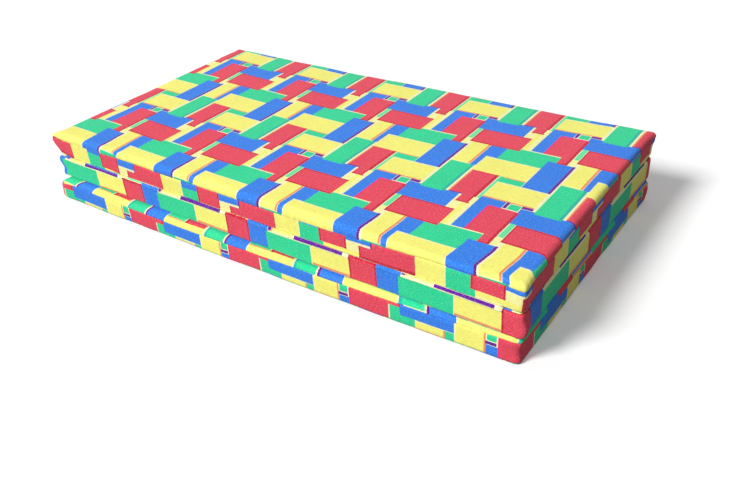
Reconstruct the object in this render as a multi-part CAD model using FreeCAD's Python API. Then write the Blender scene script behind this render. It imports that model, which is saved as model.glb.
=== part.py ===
import FreeCAD, Part
import math
import os

# Tri-fold futon mattress, folded in three: three foam panels, each in its own zipped cover,
# stacked bottom, middle, top.  +X runs along the panels' length, -Y is the front, +Z is up.
# The origin is on the floor, under the middle of the stack.  All sizes are in millimetres.

# Panels
PANEL_LENGTH = 1200.0  # width of the opened mattress
PANEL_DEPTH = 633.0  # a third of the opened mattress's 1900 length
PANEL_HEIGHT = 56.0
CORNER_RADIUS = 24.0  # panel outline seen from above
EDGE_RADIUS = 16.0  # upper edges, where the upper sheet rolls over the foam
LOWER_EDGE_RADIUS = 9.0
FOLD_EDGE_RADIUS = 6.0  # the tighter edges beside a fold
LONG_SIDE_DRAW = 5.0  # a long side stands this far in at its middle
SHORT_SIDE_DRAW = 3.0
CROWN_RISE = 6.0  # swell of the top panel's upper face
CROWN_FLAT_DEPTH = 80.0  # level middle of that face

# Cover
FABRIC = 1.0  # sheet and band thickness, with its seam allowance
CORE_CLEARANCE = 0.3  # foam to fabric
UPPER_SEAM_DROP = 15.0  # upper sheet's seam below the face
FOLDED_SEAM_DROP = 4.0  # the same on the middle panel, whose seam hides in the fold
LOWER_SEAM_RISE = 4.0

# Fold strips, sewn across the two folds
STRIP_FABRIC = 0.8
STRIP_CLEARANCE = 0.3
STRIP_REACH = 7.0  # how far a strip reaches over each panel's side
STRIP_CREASE = 1.0  # half height of the strip's bend, deep in the fold
STRIP_END_SETBACK = 12.0  # strip's end to the start of the rounded corner
FOLD_CLEARANCE = 0.4  # strip to the plane of the fold line

# Zips, one across the left end of each panel
ZIP_BAND_SETBACK = 6.0  # zip band's end to the start of the rounded corner
TAPE_WIDTH = 18.0  # across both tapes and the chain
TAPE_THICKNESS = 0.7
CHAIN_WIDTH = 6.0
CHAIN_THICKNESS = 2.0
CHAIN_SET_IN = 1.1  # chain's inner face below the band's outer face
STOP_LENGTH = 3.0
STOP_SETBACK = 3.0
SLIDER_LENGTH = 12.0
SLIDER_WIDTH = 9.0
SLIDER_PLATE = 1.1
SLIDER_FLANGE = 1.0
SLIDER_CLEARANCE = 0.25
SLIDER_NOSE = 4.0  # length of the wedge that joins the slider's two plates
SLIDER_NOSE_WIDTH = 3.2
ZIP_RELIEF = 3.0  # extra room between foam and cover behind the zip
BAIL_WIDTH = 5.4
BAIL_LEG = 1.0
BAIL_PIN_RADIUS = 0.7
BAIL_PIN_HEIGHT = 2.3
PULL_EYE_CLEARANCE = 0.3
PULL_THICKNESS = 1.2
PULL_NECK = 4.5
PULL_LENGTH = 30.0
PULL_WIDTH = 6.4
PULL_HOLE_RADIUS = 1.6

# Fineness of the rolled edges and of the crown
EDGE_STEPS = 6
CROWN_STEPS = 5

SIDES = ("front", "back", "right", "left")
LEFT_FACE = -PANEL_LENGTH / 2
ZIP_HALF = PANEL_DEPTH / 2 - CORNER_RADIUS - ZIP_BAND_SETBACK


def box(low, high):
    """Axis-aligned block between two corners."""
    size = [b - a for a, b in zip(low, high)]
    return Part.makeBox(*size, FreeCAD.Vector(*low))


def outline(height, insets, radius):
    """Closed rounded outline, with every side but the zipped left one drawn in at its middle."""
    left = -PANEL_LENGTH / 2 + insets["left"]
    right = PANEL_LENGTH / 2 - insets["right"]
    front = -PANEL_DEPTH / 2 + insets["front"]
    back = PANEL_DEPTH / 2 - insets["back"]
    middle_x = (left + right) / 2
    middle_y = (front + back) / 2
    bevel = radius * (1 - math.sqrt(0.5))

    def at(x, y):
        return FreeCAD.Vector(x, y, height)

    def arc(start, through, end):
        return Part.Arc(at(*start), at(*through), at(*end)).toShape()

    edges = [
        arc((left + radius, front), (middle_x, front + LONG_SIDE_DRAW), (right - radius, front)),
        arc((right - radius, front), (right - bevel, front + bevel), (right, front + radius)),
        arc((right, front + radius), (right - SHORT_SIDE_DRAW, middle_y), (right, back - radius)),
        arc((right, back - radius), (right - bevel, back - bevel), (right - radius, back)),
        arc((right - radius, back), (middle_x, back - LONG_SIDE_DRAW), (left + radius, back)),
        arc((left + radius, back), (left + bevel, back - bevel), (left, back - radius)),
        Part.makeLine(at(left, back - radius), at(left, front + radius)),
        arc((left, front + radius), (left + bevel, front + bevel), (left + radius, front)),
    ]
    return Part.Wire(edges)


def rolled_edge(radius, depth):
    """How far a quarter-round edge has come in, at a depth below the face it rolls over."""
    if depth >= radius:
        return 0.0
    rise = radius - max(depth, 0.0)
    return radius - math.sqrt(radius**2 - rise**2)


class Panel:
    """One foam panel of the stack: its form, and the pieces cut from that form."""

    def __init__(self, name, place, fold_above=None, fold_below=None, crown=0.0):
        self.name = name
        self.base = place * PANEL_HEIGHT
        self.top = self.base + PANEL_HEIGHT
        self.crown = crown
        self.upper_radius = {side: EDGE_RADIUS for side in SIDES}
        self.lower_radius = {side: LOWER_EDGE_RADIUS for side in SIDES}
        if fold_above:
            self.upper_radius[fold_above] = FOLD_EDGE_RADIUS
        if fold_below:
            self.lower_radius[fold_below] = FOLD_EDGE_RADIUS
        drop = FOLDED_SEAM_DROP if fold_above and fold_below else UPPER_SEAM_DROP
        self.upper_seam = self.top - drop
        self.lower_seam = self.base + LOWER_SEAM_RISE
        self.zip_height = (self.upper_seam + self.lower_seam) / 2

    def insets(self, height, margin, left_relief=0.0):
        """How far each side stands in from the panel's outline, for a form set in by a margin."""
        result = {}
        for side in SIDES:
            upper = rolled_edge(self.upper_radius[side] - margin, self.top - margin - height)
            lower = rolled_edge(self.lower_radius[side] - margin, height - self.base - margin)
            result[side] = margin + max(upper, lower)
        result["left"] += left_relief
        return result

    def levels(self, margin, low, high):
        """Heights of the outlines between two heights, close together where an edge rolls."""
        heights = []
        for step in range(EDGE_STEPS + 1):
            fall = 1 - math.cos(math.pi / 2 * step / EDGE_STEPS)
            heights.append(self.base + margin + (LOWER_EDGE_RADIUS - margin) * fall)
            heights.append(self.top - margin - (EDGE_RADIUS - margin) * fall)
        spacing = 0.1
        between = sorted(h for h in heights if low + spacing < h < high - spacing)
        return [low] + between + [high]

    def crown_outlines(self, margin, left_relief):
        """Outlines that climb from the rolled edge to the level middle of a swollen face."""
        corner = CORNER_RADIUS - EDGE_RADIUS
        level_corner = 0.4 * CROWN_FLAT_DEPTH
        reach = (PANEL_DEPTH - CROWN_FLAT_DEPTH) / 2 - EDGE_RADIUS
        outlines = []
        for step in range(1, CROWN_STEPS + 1):
            share = step / CROWN_STEPS
            insets = {side: EDGE_RADIUS + reach * share for side in SIDES}
            insets["left"] += left_relief
            height = self.top - margin + self.crown * (1 - (1 - share) ** 2)
            outlines.append(outline(height, insets, corner + share * (level_corner - corner)))
        return outlines

    def form(self, margin, low=None, high=None, left_relief=0.0):
        """Solid of the panel set in by a margin, between two heights or over its whole height."""
        first = self.base + margin if low is None else low
        last = self.top - margin if high is None else high
        outlines = []
        for height in self.levels(margin, first, last):
            insets = self.insets(height, margin, left_relief)
            radius = CORNER_RADIUS - min(insets["front"], insets["back"], insets["right"])
            outlines.append(outline(height, insets, radius))
        if self.crown and high is None:
            outlines += self.crown_outlines(margin, left_relief)
        return Part.makeLoft(outlines, True, True)

    def side_inset(self, side, height):
        """Inset of a side at a height, along the straight facets between the outlines."""
        heights = self.levels(0.0, self.base, self.top)
        for low, high in zip(heights, heights[1:]):
            if low <= height <= high:
                share = (height - low) / (high - low)
                at_low = self.insets(low, 0.0)[side]
                at_high = self.insets(high, 0.0)[side]
                return at_low + share * (at_high - at_low)
        raise ValueError("height lies outside the panel")

    def zip_region(self, half_height=None):
        """Block round the left end's straight stretch, over its height or part of it."""
        low = self.base if half_height is None else self.zip_height - half_height
        high = self.top if half_height is None else self.zip_height + half_height
        inner = LEFT_FACE + CORNER_RADIUS
        outer = LEFT_FACE - CORNER_RADIUS
        return box((outer, -ZIP_HALF, low), (inner, ZIP_HALF, high))

    def foam_core(self):
        """Foam block that fills the cover."""
        return self.form(FABRIC + CORE_CLEARANCE, left_relief=ZIP_RELIEF)

    def upper_sheet(self):
        """Fabric over the upper face, rolled down over the edges to its seam."""
        inner = self.form(FABRIC, low=self.upper_seam - FABRIC)
        return self.form(0.0, low=self.upper_seam).cut(inner)

    def lower_sheet(self):
        """Fabric under the lower face, turned up to its seam."""
        inner = self.form(FABRIC, high=self.lower_seam + FABRIC)
        return self.form(0.0, high=self.lower_seam).cut(inner)

    def band_ring(self):
        """Fabric wall all round the panel, between the two seams."""
        outer = self.form(0.0, low=self.lower_seam, high=self.upper_seam)
        low = self.lower_seam - FABRIC
        high = self.upper_seam + FABRIC
        return outer.cut(self.form(FABRIC, low=low, high=high))

    def side_band(self):
        """One strip of fabric along the front, the right end and the back, corners included."""
        return self.band_ring().cut(self.zip_region())

    def zip_band(self):
        """Two narrow strips of fabric on the left end, above and below the zip."""
        strips = self.band_ring().common(self.zip_region())
        return strips.cut(self.zip_region(TAPE_WIDTH / 2))

    def zip_tapes(self):
        """Two woven tapes that carry the chain."""
        set_in = (FABRIC - TAPE_THICKNESS) / 2
        tapes = []
        for side in (-1, 1):
            edges = sorted((side * CHAIN_WIDTH / 2, side * TAPE_WIDTH / 2))
            low = (LEFT_FACE + set_in, -ZIP_HALF, self.zip_height + edges[0])
            high = (LEFT_FACE + set_in + TAPE_THICKNESS, ZIP_HALF, self.zip_height + edges[1])
            tapes.append(box(low, high))
        return Part.makeCompound(tapes)

    def zip_chain(self):
        """Closed coil chain, from the slider's wedge to the bottom stop."""
        low = (CHAIN_OUTER, SLIDER_START + SLIDER_NOSE + SLIDER_CLEARANCE)
        high = (CHAIN_INNER, BOTTOM_STOP)
        half = CHAIN_WIDTH / 2
        return box((*low, self.zip_height - half), (*high, self.zip_height + half))

    def zip_stops(self):
        """Two top stops, one on each tape, and the bottom stop across both."""
        half = CHAIN_WIDTH / 2
        stops = []
        for side in (-1, 1):
            edges = sorted((side * SLIDER_NOSE_WIDTH / 2, side * half))
            low = (CHAIN_OUTER, TOP_STOP, self.zip_height + edges[0])
            high = (CHAIN_INNER, TOP_STOP + STOP_LENGTH, self.zip_height + edges[1])
            stops.append(box(low, high))
        low = (CHAIN_OUTER, BOTTOM_STOP, self.zip_height - half)
        high = (CHAIN_INNER, BOTTOM_STOP + STOP_LENGTH, self.zip_height + half)
        stops.append(box(low, high))
        return Part.makeCompound(stops)

    def zip_slider(self):
        """Slider: two plates joined by the wedge, with flanges and a bail for the pull."""
        start = SLIDER_START
        end = SLIDER_START + SLIDER_LENGTH
        half = SLIDER_WIDTH / 2
        middle = self.zip_height
        outer_low = SLIDER_OUTER
        outer_high = SLIDER_OUTER + SLIDER_PLATE
        inner_low = CHAIN_INNER + SLIDER_CLEARANCE
        inner_high = inner_low + SLIDER_PLATE
        tape_outer = LEFT_FACE + (FABRIC - TAPE_THICKNESS) / 2
        tape_inner = tape_outer + TAPE_THICKNESS
        blocks = [
            box((outer_low, start, middle - half), (outer_high, end, middle + half)),
            box((inner_low, start, middle - half), (inner_high, end, middle + half)),
        ]
        nose = SLIDER_NOSE_WIDTH / 2
        blocks.append(
            box((outer_low, start, middle - nose), (inner_high, start + SLIDER_NOSE, middle + nose))
        )
        for side in (-1, 1):
            edges = sorted((side * half, side * (half - SLIDER_FLANGE)))
            spans = ((outer_low, tape_outer - SLIDER_CLEARANCE), (tape_inner + SLIDER_CLEARANCE, inner_high))
            for low, high in spans:
                blocks.append(box((low, start, middle + edges[0]), (high, end, middle + edges[1])))
            legs = sorted((side * BAIL_WIDTH / 2, side * (BAIL_WIDTH / 2 - BAIL_LEG)))
            reach = BAIL_PIN_RADIUS + BAIL_LEG / 2
            low = (PIN_X - BAIL_PIN_RADIUS, PIN_Y - reach, middle + legs[0])
            high = (outer_low, PIN_Y + reach, middle + legs[1])
            blocks.append(box(low, high))
        pin_foot = FreeCAD.Vector(PIN_X, PIN_Y, middle - BAIL_WIDTH / 2)
        blocks.append(Part.makeCylinder(BAIL_PIN_RADIUS, BAIL_WIDTH, pin_foot))
        return blocks[0].fuse(blocks[1:]).removeSplitter()

    def zip_pull(self):
        """Pull that swings on the bail's pin and lies along the chain."""
        eye_inner = BAIL_PIN_RADIUS + PULL_EYE_CLEARANCE
        eye_outer = eye_inner + 0.8 * PULL_THICKNESS
        eye_width = BAIL_WIDTH - 2 * BAIL_LEG - 2 * PULL_EYE_CLEARANCE
        foot = FreeCAD.Vector(PIN_X, PIN_Y, self.zip_height - eye_width / 2)
        half = PULL_THICKNESS / 2
        neck_low = (PIN_X - half, PIN_Y, self.zip_height - eye_width / 2)
        neck_high = (PIN_X + half, PIN_Y + PULL_NECK, self.zip_height + eye_width / 2)
        blade_low = (PIN_X - half, PIN_Y + PULL_NECK, self.zip_height - PULL_WIDTH / 2)
        blade_high = (PIN_X + half, PIN_Y + PULL_LENGTH, self.zip_height + PULL_WIDTH / 2)
        blade = box(blade_low, blade_high)
        corners = [edge for edge in blade.Edges if abs(edge.Length - PULL_THICKNESS) < 1e-6]
        blade = blade.makeFillet(PULL_WIDTH / 4, corners)
        body = Part.makeCylinder(eye_outer, eye_width, foot)
        body = body.fuse([box(neck_low, neck_high), blade])
        hole_foot = FreeCAD.Vector(PIN_X - half, PIN_Y + PULL_LENGTH - PULL_WIDTH / 2, self.zip_height)
        hole = Part.makeCylinder(PULL_HOLE_RADIUS, PULL_THICKNESS, hole_foot, FreeCAD.Vector(1, 0, 0))
        bore = Part.makeCylinder(eye_inner, eye_width, foot)
        return body.cut([bore, hole]).removeSplitter()

    def pieces(self):
        """Every piece of this panel, by name."""
        makers = (
            self.foam_core,
            self.upper_sheet,
            self.lower_sheet,
            self.side_band,
            self.zip_band,
            self.zip_tapes,
            self.zip_chain,
            self.zip_stops,
            self.zip_slider,
            self.zip_pull,
        )
        return {f"{self.name}_{make.__name__}": make() for make in makers}


# Places along and across the zips
CHAIN_INNER = LEFT_FACE + CHAIN_SET_IN
CHAIN_OUTER = CHAIN_INNER - CHAIN_THICKNESS
TOP_STOP = -ZIP_HALF + STOP_SETBACK
BOTTOM_STOP = ZIP_HALF - STOP_SETBACK - STOP_LENGTH
SLIDER_START = TOP_STOP + STOP_LENGTH + SLIDER_CLEARANCE
SLIDER_OUTER = CHAIN_OUTER - SLIDER_CLEARANCE - SLIDER_PLATE
PIN_X = SLIDER_OUTER - BAIL_PIN_HEIGHT
PIN_Y = SLIDER_START + SLIDER_LENGTH / 2
SLIDER_TRAVEL = BOTTOM_STOP - SLIDER_CLEARANCE - SLIDER_LENGTH - SLIDER_START


def fold_strip(lower, upper, side):
    """Strip of fabric that follows both panels' edges into the fold and joins their covers."""
    fold = lower.top
    heights = [fold - STRIP_REACH]
    heights += lower.levels(0.0, fold - STRIP_REACH, fold - STRIP_CREASE)[1:]
    heights += upper.levels(0.0, fold + STRIP_CREASE, fold + STRIP_REACH)

    def strip_form(thickness):
        outlines = []
        for height in heights:
            panel = lower if height < fold else upper
            insets = panel.insets(height, 0.0)
            insets[side] = panel.side_inset(side, height) - STRIP_CLEARANCE - thickness
            radius = CORNER_RADIUS - panel.side_inset(side, height)
            outlines.append(outline(height, insets, radius))
        return Part.makeLoft(outlines, True, True)

    half = PANEL_LENGTH / 2 - CORNER_RADIUS - STRIP_END_SETBACK
    reach = sorted((SIDE_SIGN[side] * PANEL_DEPTH / 4, SIDE_SIGN[side] * PANEL_DEPTH))
    keep = box((-half, reach[0], lower.base), (half, reach[1], upper.top))
    return strip_form(STRIP_FABRIC).cut(strip_form(0.0)).common(keep)


SIDE_SIGN = {"front": -1, "back": 1}
FOLD_OFFSET = PANEL_DEPTH / 2 + STRIP_CLEARANCE + STRIP_FABRIC + FOLD_CLEARANCE

bottom = Panel("bottom", 0, fold_above="back")
middle = Panel("middle", 1, fold_above="front", fold_below="back")
top = Panel("top", 2, fold_below="front", crown=CROWN_RISE)

pieces = {}
for panel in (bottom, middle, top):
    pieces.update(panel.pieces())
pieces["back_fold_strip"] = fold_strip(bottom, middle, "back")
pieces["front_fold_strip"] = fold_strip(middle, top, "front")

os.makedirs("parts", exist_ok=True)
for name, piece in pieces.items():
    piece.exportStep(f"parts/{name}.step")
    extent = piece.BoundBox
    print(f"{name}: {len(piece.Solids)} solid(s), valid {piece.isValid()}, {piece.Volume / 1000:.1f} cm3,"
          f" x {extent.XMin:.1f} {extent.XMax:.1f}, y {extent.YMin:.1f} {extent.YMax:.1f},"
          f" z {extent.ZMin:.1f} {extent.ZMax:.1f}")
print(f"fold lines: y +-{FOLD_OFFSET:.2f}, z {bottom.top:.1f} and {middle.top:.1f}")
print(f"slider travel {SLIDER_TRAVEL:.2f}, pull pins at x {PIN_X:.2f}, y {PIN_Y:.2f},"
      f" z {bottom.zip_height:.1f} {middle.zip_height:.1f} {top.zip_height:.1f}")
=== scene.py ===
import logging
import math
from collections.abc import Callable, Sequence
from dataclasses import dataclass, field
from enum import Enum

import bpy
import numpy as np
from mathutils import Matrix, Vector, noise


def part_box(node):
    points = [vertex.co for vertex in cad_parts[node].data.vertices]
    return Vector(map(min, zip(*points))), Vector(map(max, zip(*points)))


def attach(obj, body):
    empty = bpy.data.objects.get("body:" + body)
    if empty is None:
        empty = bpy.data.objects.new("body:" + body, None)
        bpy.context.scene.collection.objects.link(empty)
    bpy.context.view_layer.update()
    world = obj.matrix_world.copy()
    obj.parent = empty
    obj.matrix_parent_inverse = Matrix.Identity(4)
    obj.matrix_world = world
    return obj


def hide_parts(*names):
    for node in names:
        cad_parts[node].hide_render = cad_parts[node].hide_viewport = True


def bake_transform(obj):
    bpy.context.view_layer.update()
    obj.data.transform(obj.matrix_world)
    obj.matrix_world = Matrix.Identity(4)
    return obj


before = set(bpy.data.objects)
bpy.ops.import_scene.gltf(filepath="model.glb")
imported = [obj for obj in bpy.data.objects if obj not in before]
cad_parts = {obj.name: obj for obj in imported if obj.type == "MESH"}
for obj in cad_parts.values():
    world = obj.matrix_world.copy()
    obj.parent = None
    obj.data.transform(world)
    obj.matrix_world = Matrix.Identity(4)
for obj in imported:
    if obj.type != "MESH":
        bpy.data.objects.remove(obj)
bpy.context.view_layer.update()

MM = 0.001
log = logging.getLogger("futon")


# ---------------------------------------------------------------- the printed cotton's repeat


class Dye(Enum):
    """Dyes of the printed cotton, as sRGB shares."""

    GROUND = (0.99, 0.98, 0.76)
    YELLOW = (0.99, 0.97, 0.48)
    PALE = (0.99, 0.98, 0.66)
    BLUE = (0.15, 0.50, 0.93)
    GREEN = (0.10, 0.85, 0.60)
    TEAL = (0.0, 0.72, 0.66)
    LIGHT_GREEN = (0.40, 0.92, 0.66)
    RED = (0.92, 0.25, 0.36)
    CRIMSON = (0.80, 0.0, 0.22)
    MAGENTA = (0.98, 0.0, 0.46)
    VIOLET = (0.40, 0.0, 0.62)
    ORANGE = (0.97, 0.58, 0.36)


@dataclass(frozen=True)
class Block:
    """One printed block of the repeat, in millimetres of cloth, with down as the second axis."""

    left: float
    right: float
    top: float
    bottom: float
    dye: Dye


REPEAT_ACROSS = 240.0
REPEAT_DOWN = 320.0
EDGE_SOFTNESS = 0.25 * MM
BLEED_SCALE = 260.0
BLEED_REACH = 1.6 * MM
SLUB_SCALE = 900.0
SLUB_STRETCH = 0.12

# The blocks lie in weaving order, like a basket weave: each one covers those before it.
BLOCKS = (
    Block(91, 209, -9, 48, Dye.GREEN),
    Block(54, 91, 0, 47, Dye.BLUE),
    Block(54, 67, 47, 92, Dye.BLUE),
    Block(11, 48, 0, 90, Dye.YELLOW),
    Block(48, 53, 0, 90, Dye.ORANGE),
    Block(69, 186, 50, 110, Dye.YELLOW),
    Block(130, 186, 110, 113, Dye.ORANGE),
    Block(188, 241, 14, 132, Dye.BLUE),
    Block(241, 247, 14, 132, Dye.VIOLET),
    Block(70, 130, 110, 202, Dye.RED),
    Block(101, 130, 202, 230, Dye.RED),
    Block(123, 130, 110, 230, Dye.CRIMSON),
    Block(70, 73, 110, 202, Dye.ORANGE),
    Block(132, 138, 110, 204, Dye.LIGHT_GREEN),
    Block(136, 187, 113, 132, Dye.GREEN),
    Block(139, 244, 135, 191, Dye.YELLOW),
    Block(139, 244, 191, 195, Dye.ORANGE),
    Block(138, 190, 195, 219.5, Dye.BLUE),
    Block(138, 165.5, 216, 308, Dye.BLUE),
    Block(191, 198, 194, 216, Dye.VIOLET),
    Block(200, 222, 197, 216, Dye.GREEN),
    Block(223, 245, 195, 203, Dye.VIOLET),
    Block(99, 127, 229, 259, Dye.PALE),
    Block(117, 138, 229, 310, Dye.YELLOW),
    Block(127, 138, 204, 310, Dye.PALE),
    Block(224, 336, 204, 258, Dye.BLUE),
    Block(71, 101, 201, 204, Dye.VIOLET),
    Block(11, 60, 92, 210, Dye.GREEN),
    Block(58.5, 65, 92, 210, Dye.TEAL),
    Block(165, 228, 220, 308, Dye.RED),
    Block(205, 228, 308, 335, Dye.RED),
    Block(164.5, 168, 220, 308, Dye.MAGENTA),
    Block(164.5, 222, 218.5, 222, Dye.MAGENTA),
    Block(222, 228, 220, 335, Dye.CRIMSON),
    Block(230, 241, 257, 306, Dye.LIGHT_GREEN),
    Block(228, 242, 306, 335, Dye.PALE),
    Block(2, 117, 259, 320, Dye.RED),
    Block(2, 5.5, 258, 320, Dye.CRIMSON),
    Block(2, 117, 316, 320, Dye.CRIMSON),
    Block(2, 117, 257.5, 261, Dye.CRIMSON),
    Block(101, 130, 226.5, 230, Dye.CRIMSON),
    Block(205, 228, 331.5, 335, Dye.CRIMSON),
)


def linear(shares: Sequence[float]) -> tuple[float, float, float, float]:
    """Linear colour with full alpha.

    Args:
        shares: Red, green and blue as sRGB shares.

    Returns:
        The same colour in linear light.
    """
    parts = [c / 12.92 if c <= 0.04045 else ((c + 0.055) / 1.055) ** 2.4 for c in shares]
    return (*parts, 1.0)


def darker(shares: Sequence[float], share: float) -> tuple[float, float, float, float]:
    """Linear colour of some sRGB shares, each first brought down to a share of itself."""
    return linear([share * c for c in shares])


# ---------------------------------------------------------------- node helpers


class Wiring:
    """Adds nodes to a tree and joins them, from left to right.

    The Mix node's colours and result stand at fixed places among its sockets.
    """

    COLUMN = 180
    MIX_FIRST = 6
    MIX_SECOND = 7
    MIX_RESULT = 2

    def __init__(self, tree: bpy.types.NodeTree) -> None:
        """Starts from the tree to be filled."""
        self.tree = tree
        self.column = 0

    def add(self, kind: str, **settings: object) -> bpy.types.Node:
        """Adds a node.

        Args:
            kind: The node's class name, without its ShaderNode prefix.
            **settings: Properties to set on the node.

        Returns:
            The new node.
        """
        prefix = "" if kind.startswith("NodeGroup") else "ShaderNode"
        node = self.tree.nodes.new(prefix + kind)
        node.location = (self.column * self.COLUMN, 0)
        self.column += 1
        for name, value in settings.items():
            setattr(node, name, value)
        return node

    def feed(self, socket: bpy.types.NodeSocket, value: object) -> None:
        """Joins a socket to an output, or sets it to a plain value.

        Args:
            socket: The socket that is fed.
            value: An output, or a plain value.
        """
        if isinstance(value, bpy.types.NodeSocket):
            self.tree.links.new(value, socket)
        else:
            socket.default_value = value

    def fed(self, kind: str, values: Sequence[object], **settings: object) -> bpy.types.NodeSocket:
        """Adds a node, feeds its first inputs in order and returns its first output.

        Args:
            kind: The node's class name, without its ShaderNode prefix.
            values: An output or a plain value for each of the first inputs.
            **settings: Properties to set on the node.

        Returns:
            The first output.
        """
        node = self.add(kind, **settings)
        for socket, value in zip(node.inputs, values):
            self.feed(socket, value)
        return node.outputs[0]

    def math(self, operation: str, *values: object) -> bpy.types.NodeSocket:
        """Adds a Math node over one to three values and returns its output."""
        return self.fed("Math", values, operation=operation)

    def vector(self, operation: str, *values: object) -> bpy.types.NodeSocket:
        """Adds a Vector Math node over one to three values and returns its vector."""
        return self.fed("VectorMath", values, operation=operation)

    def parts(self, value: object) -> Sequence[bpy.types.NodeSocket]:
        """Adds a node that splits a vector, and returns its three outputs.

        Args:
            value: The vector.

        Returns:
            The outputs of its three parts.
        """
        node = self.add("SeparateXYZ")
        self.feed(node.inputs[0], value)
        return node.outputs

    def group(self, tree: bpy.types.NodeTree, **values: object) -> bpy.types.Node:
        """Adds a shared group, with its inputs fed by name, and underscores for spaces.

        Args:
            tree: The group's tree.
            **values: What feeds each input.

        Returns:
            The group's node.
        """
        node = self.add("Group")
        node.node_tree = tree
        for name, value in values.items():
            self.feed(node.inputs[name.replace("_", " ")], value)
        return node

    def noise(self, where: object, scale: float, detail: float = 2.0) -> bpy.types.NodeSocket:
        """Adds a Noise Texture and returns its value, from 0 to 1.

        Args:
            where: The coordinates.
            scale: Swells per metre.
            detail: How many finer layers it has.

        Returns:
            The noise.
        """
        node = self.add("TexNoise")
        self.feed(node.inputs["Vector"], where)
        node.inputs["Scale"].default_value = scale
        node.inputs["Detail"].default_value = detail
        return node.outputs[0]

    def spread(
        self, value: object, low: float, high: float, to: tuple[float, float]
    ) -> bpy.types.NodeSocket:
        """Maps a value's range to another range with a smooth step.

        Args:
            value: What is mapped.
            low: Value that gives the first end.
            high: Value that gives the second end.
            to: The two ends.

        Returns:
            The mapped value.
        """
        return self.fed("MapRange", (value, low, high, *to), interpolation_type="SMOOTHSTEP")

    def mix(
        self, share: object, first: object, second: object, blend: str = "MIX"
    ) -> bpy.types.NodeSocket:
        """Mixes two colours and returns the result.

        Args:
            share: The second colour's share.
            first: The first colour.
            second: The second colour.
            blend: How they are blended.

        Returns:
            The mixed colour.
        """
        node = self.add("Mix", data_type="RGBA", blend_type=blend)
        self.feed(node.inputs[0], share)
        self.feed(node.inputs[self.MIX_FIRST], first)
        self.feed(node.inputs[self.MIX_SECOND], second)
        return node.outputs[self.MIX_RESULT]

    def bump(
        self, height: object, strength: float, distance: float, under: object = None
    ) -> bpy.types.NodeSocket:
        """Adds a Bump node and returns its normal.

        Args:
            height: The height, as a share of the distance.
            strength: How strong the effect is, up to 1.
            distance: The height that a value of 1 stands for, in metres.
            under: A normal that this bump adds to.

        Returns:
            The bumped normal.
        """
        node = self.add("Bump")
        node.inputs["Strength"].default_value = strength
        node.inputs["Distance"].default_value = distance
        self.feed(node.inputs["Height"], height)
        if under is not None:
            self.feed(node.inputs["Normal"], under)
        return node.outputs[0]


def group_tree(
    name: str, takes: dict[str, str], gives: dict[str, str]
) -> tuple[bpy.types.NodeTree, Wiring, bpy.types.Node, bpy.types.Node]:
    """Makes an empty shader node group with named sockets.

    Args:
        name: The group's name.
        takes: Kind of each input socket, by name.
        gives: Kind of each output socket, by name.

    Returns:
        The tree, its wiring, its input node and its output node.
    """
    tree = bpy.data.node_groups.new(name, "ShaderNodeTree")
    for title, kind in takes.items():
        tree.interface.new_socket(title, in_out="INPUT", socket_type=f"NodeSocket{kind}")
    for title, kind in gives.items():
        tree.interface.new_socket(title, in_out="OUTPUT", socket_type=f"NodeSocket{kind}")
    wiring = Wiring(tree)
    return tree, wiring, wiring.add("NodeGroupInput"), wiring.add("NodeGroupOutput")


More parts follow.
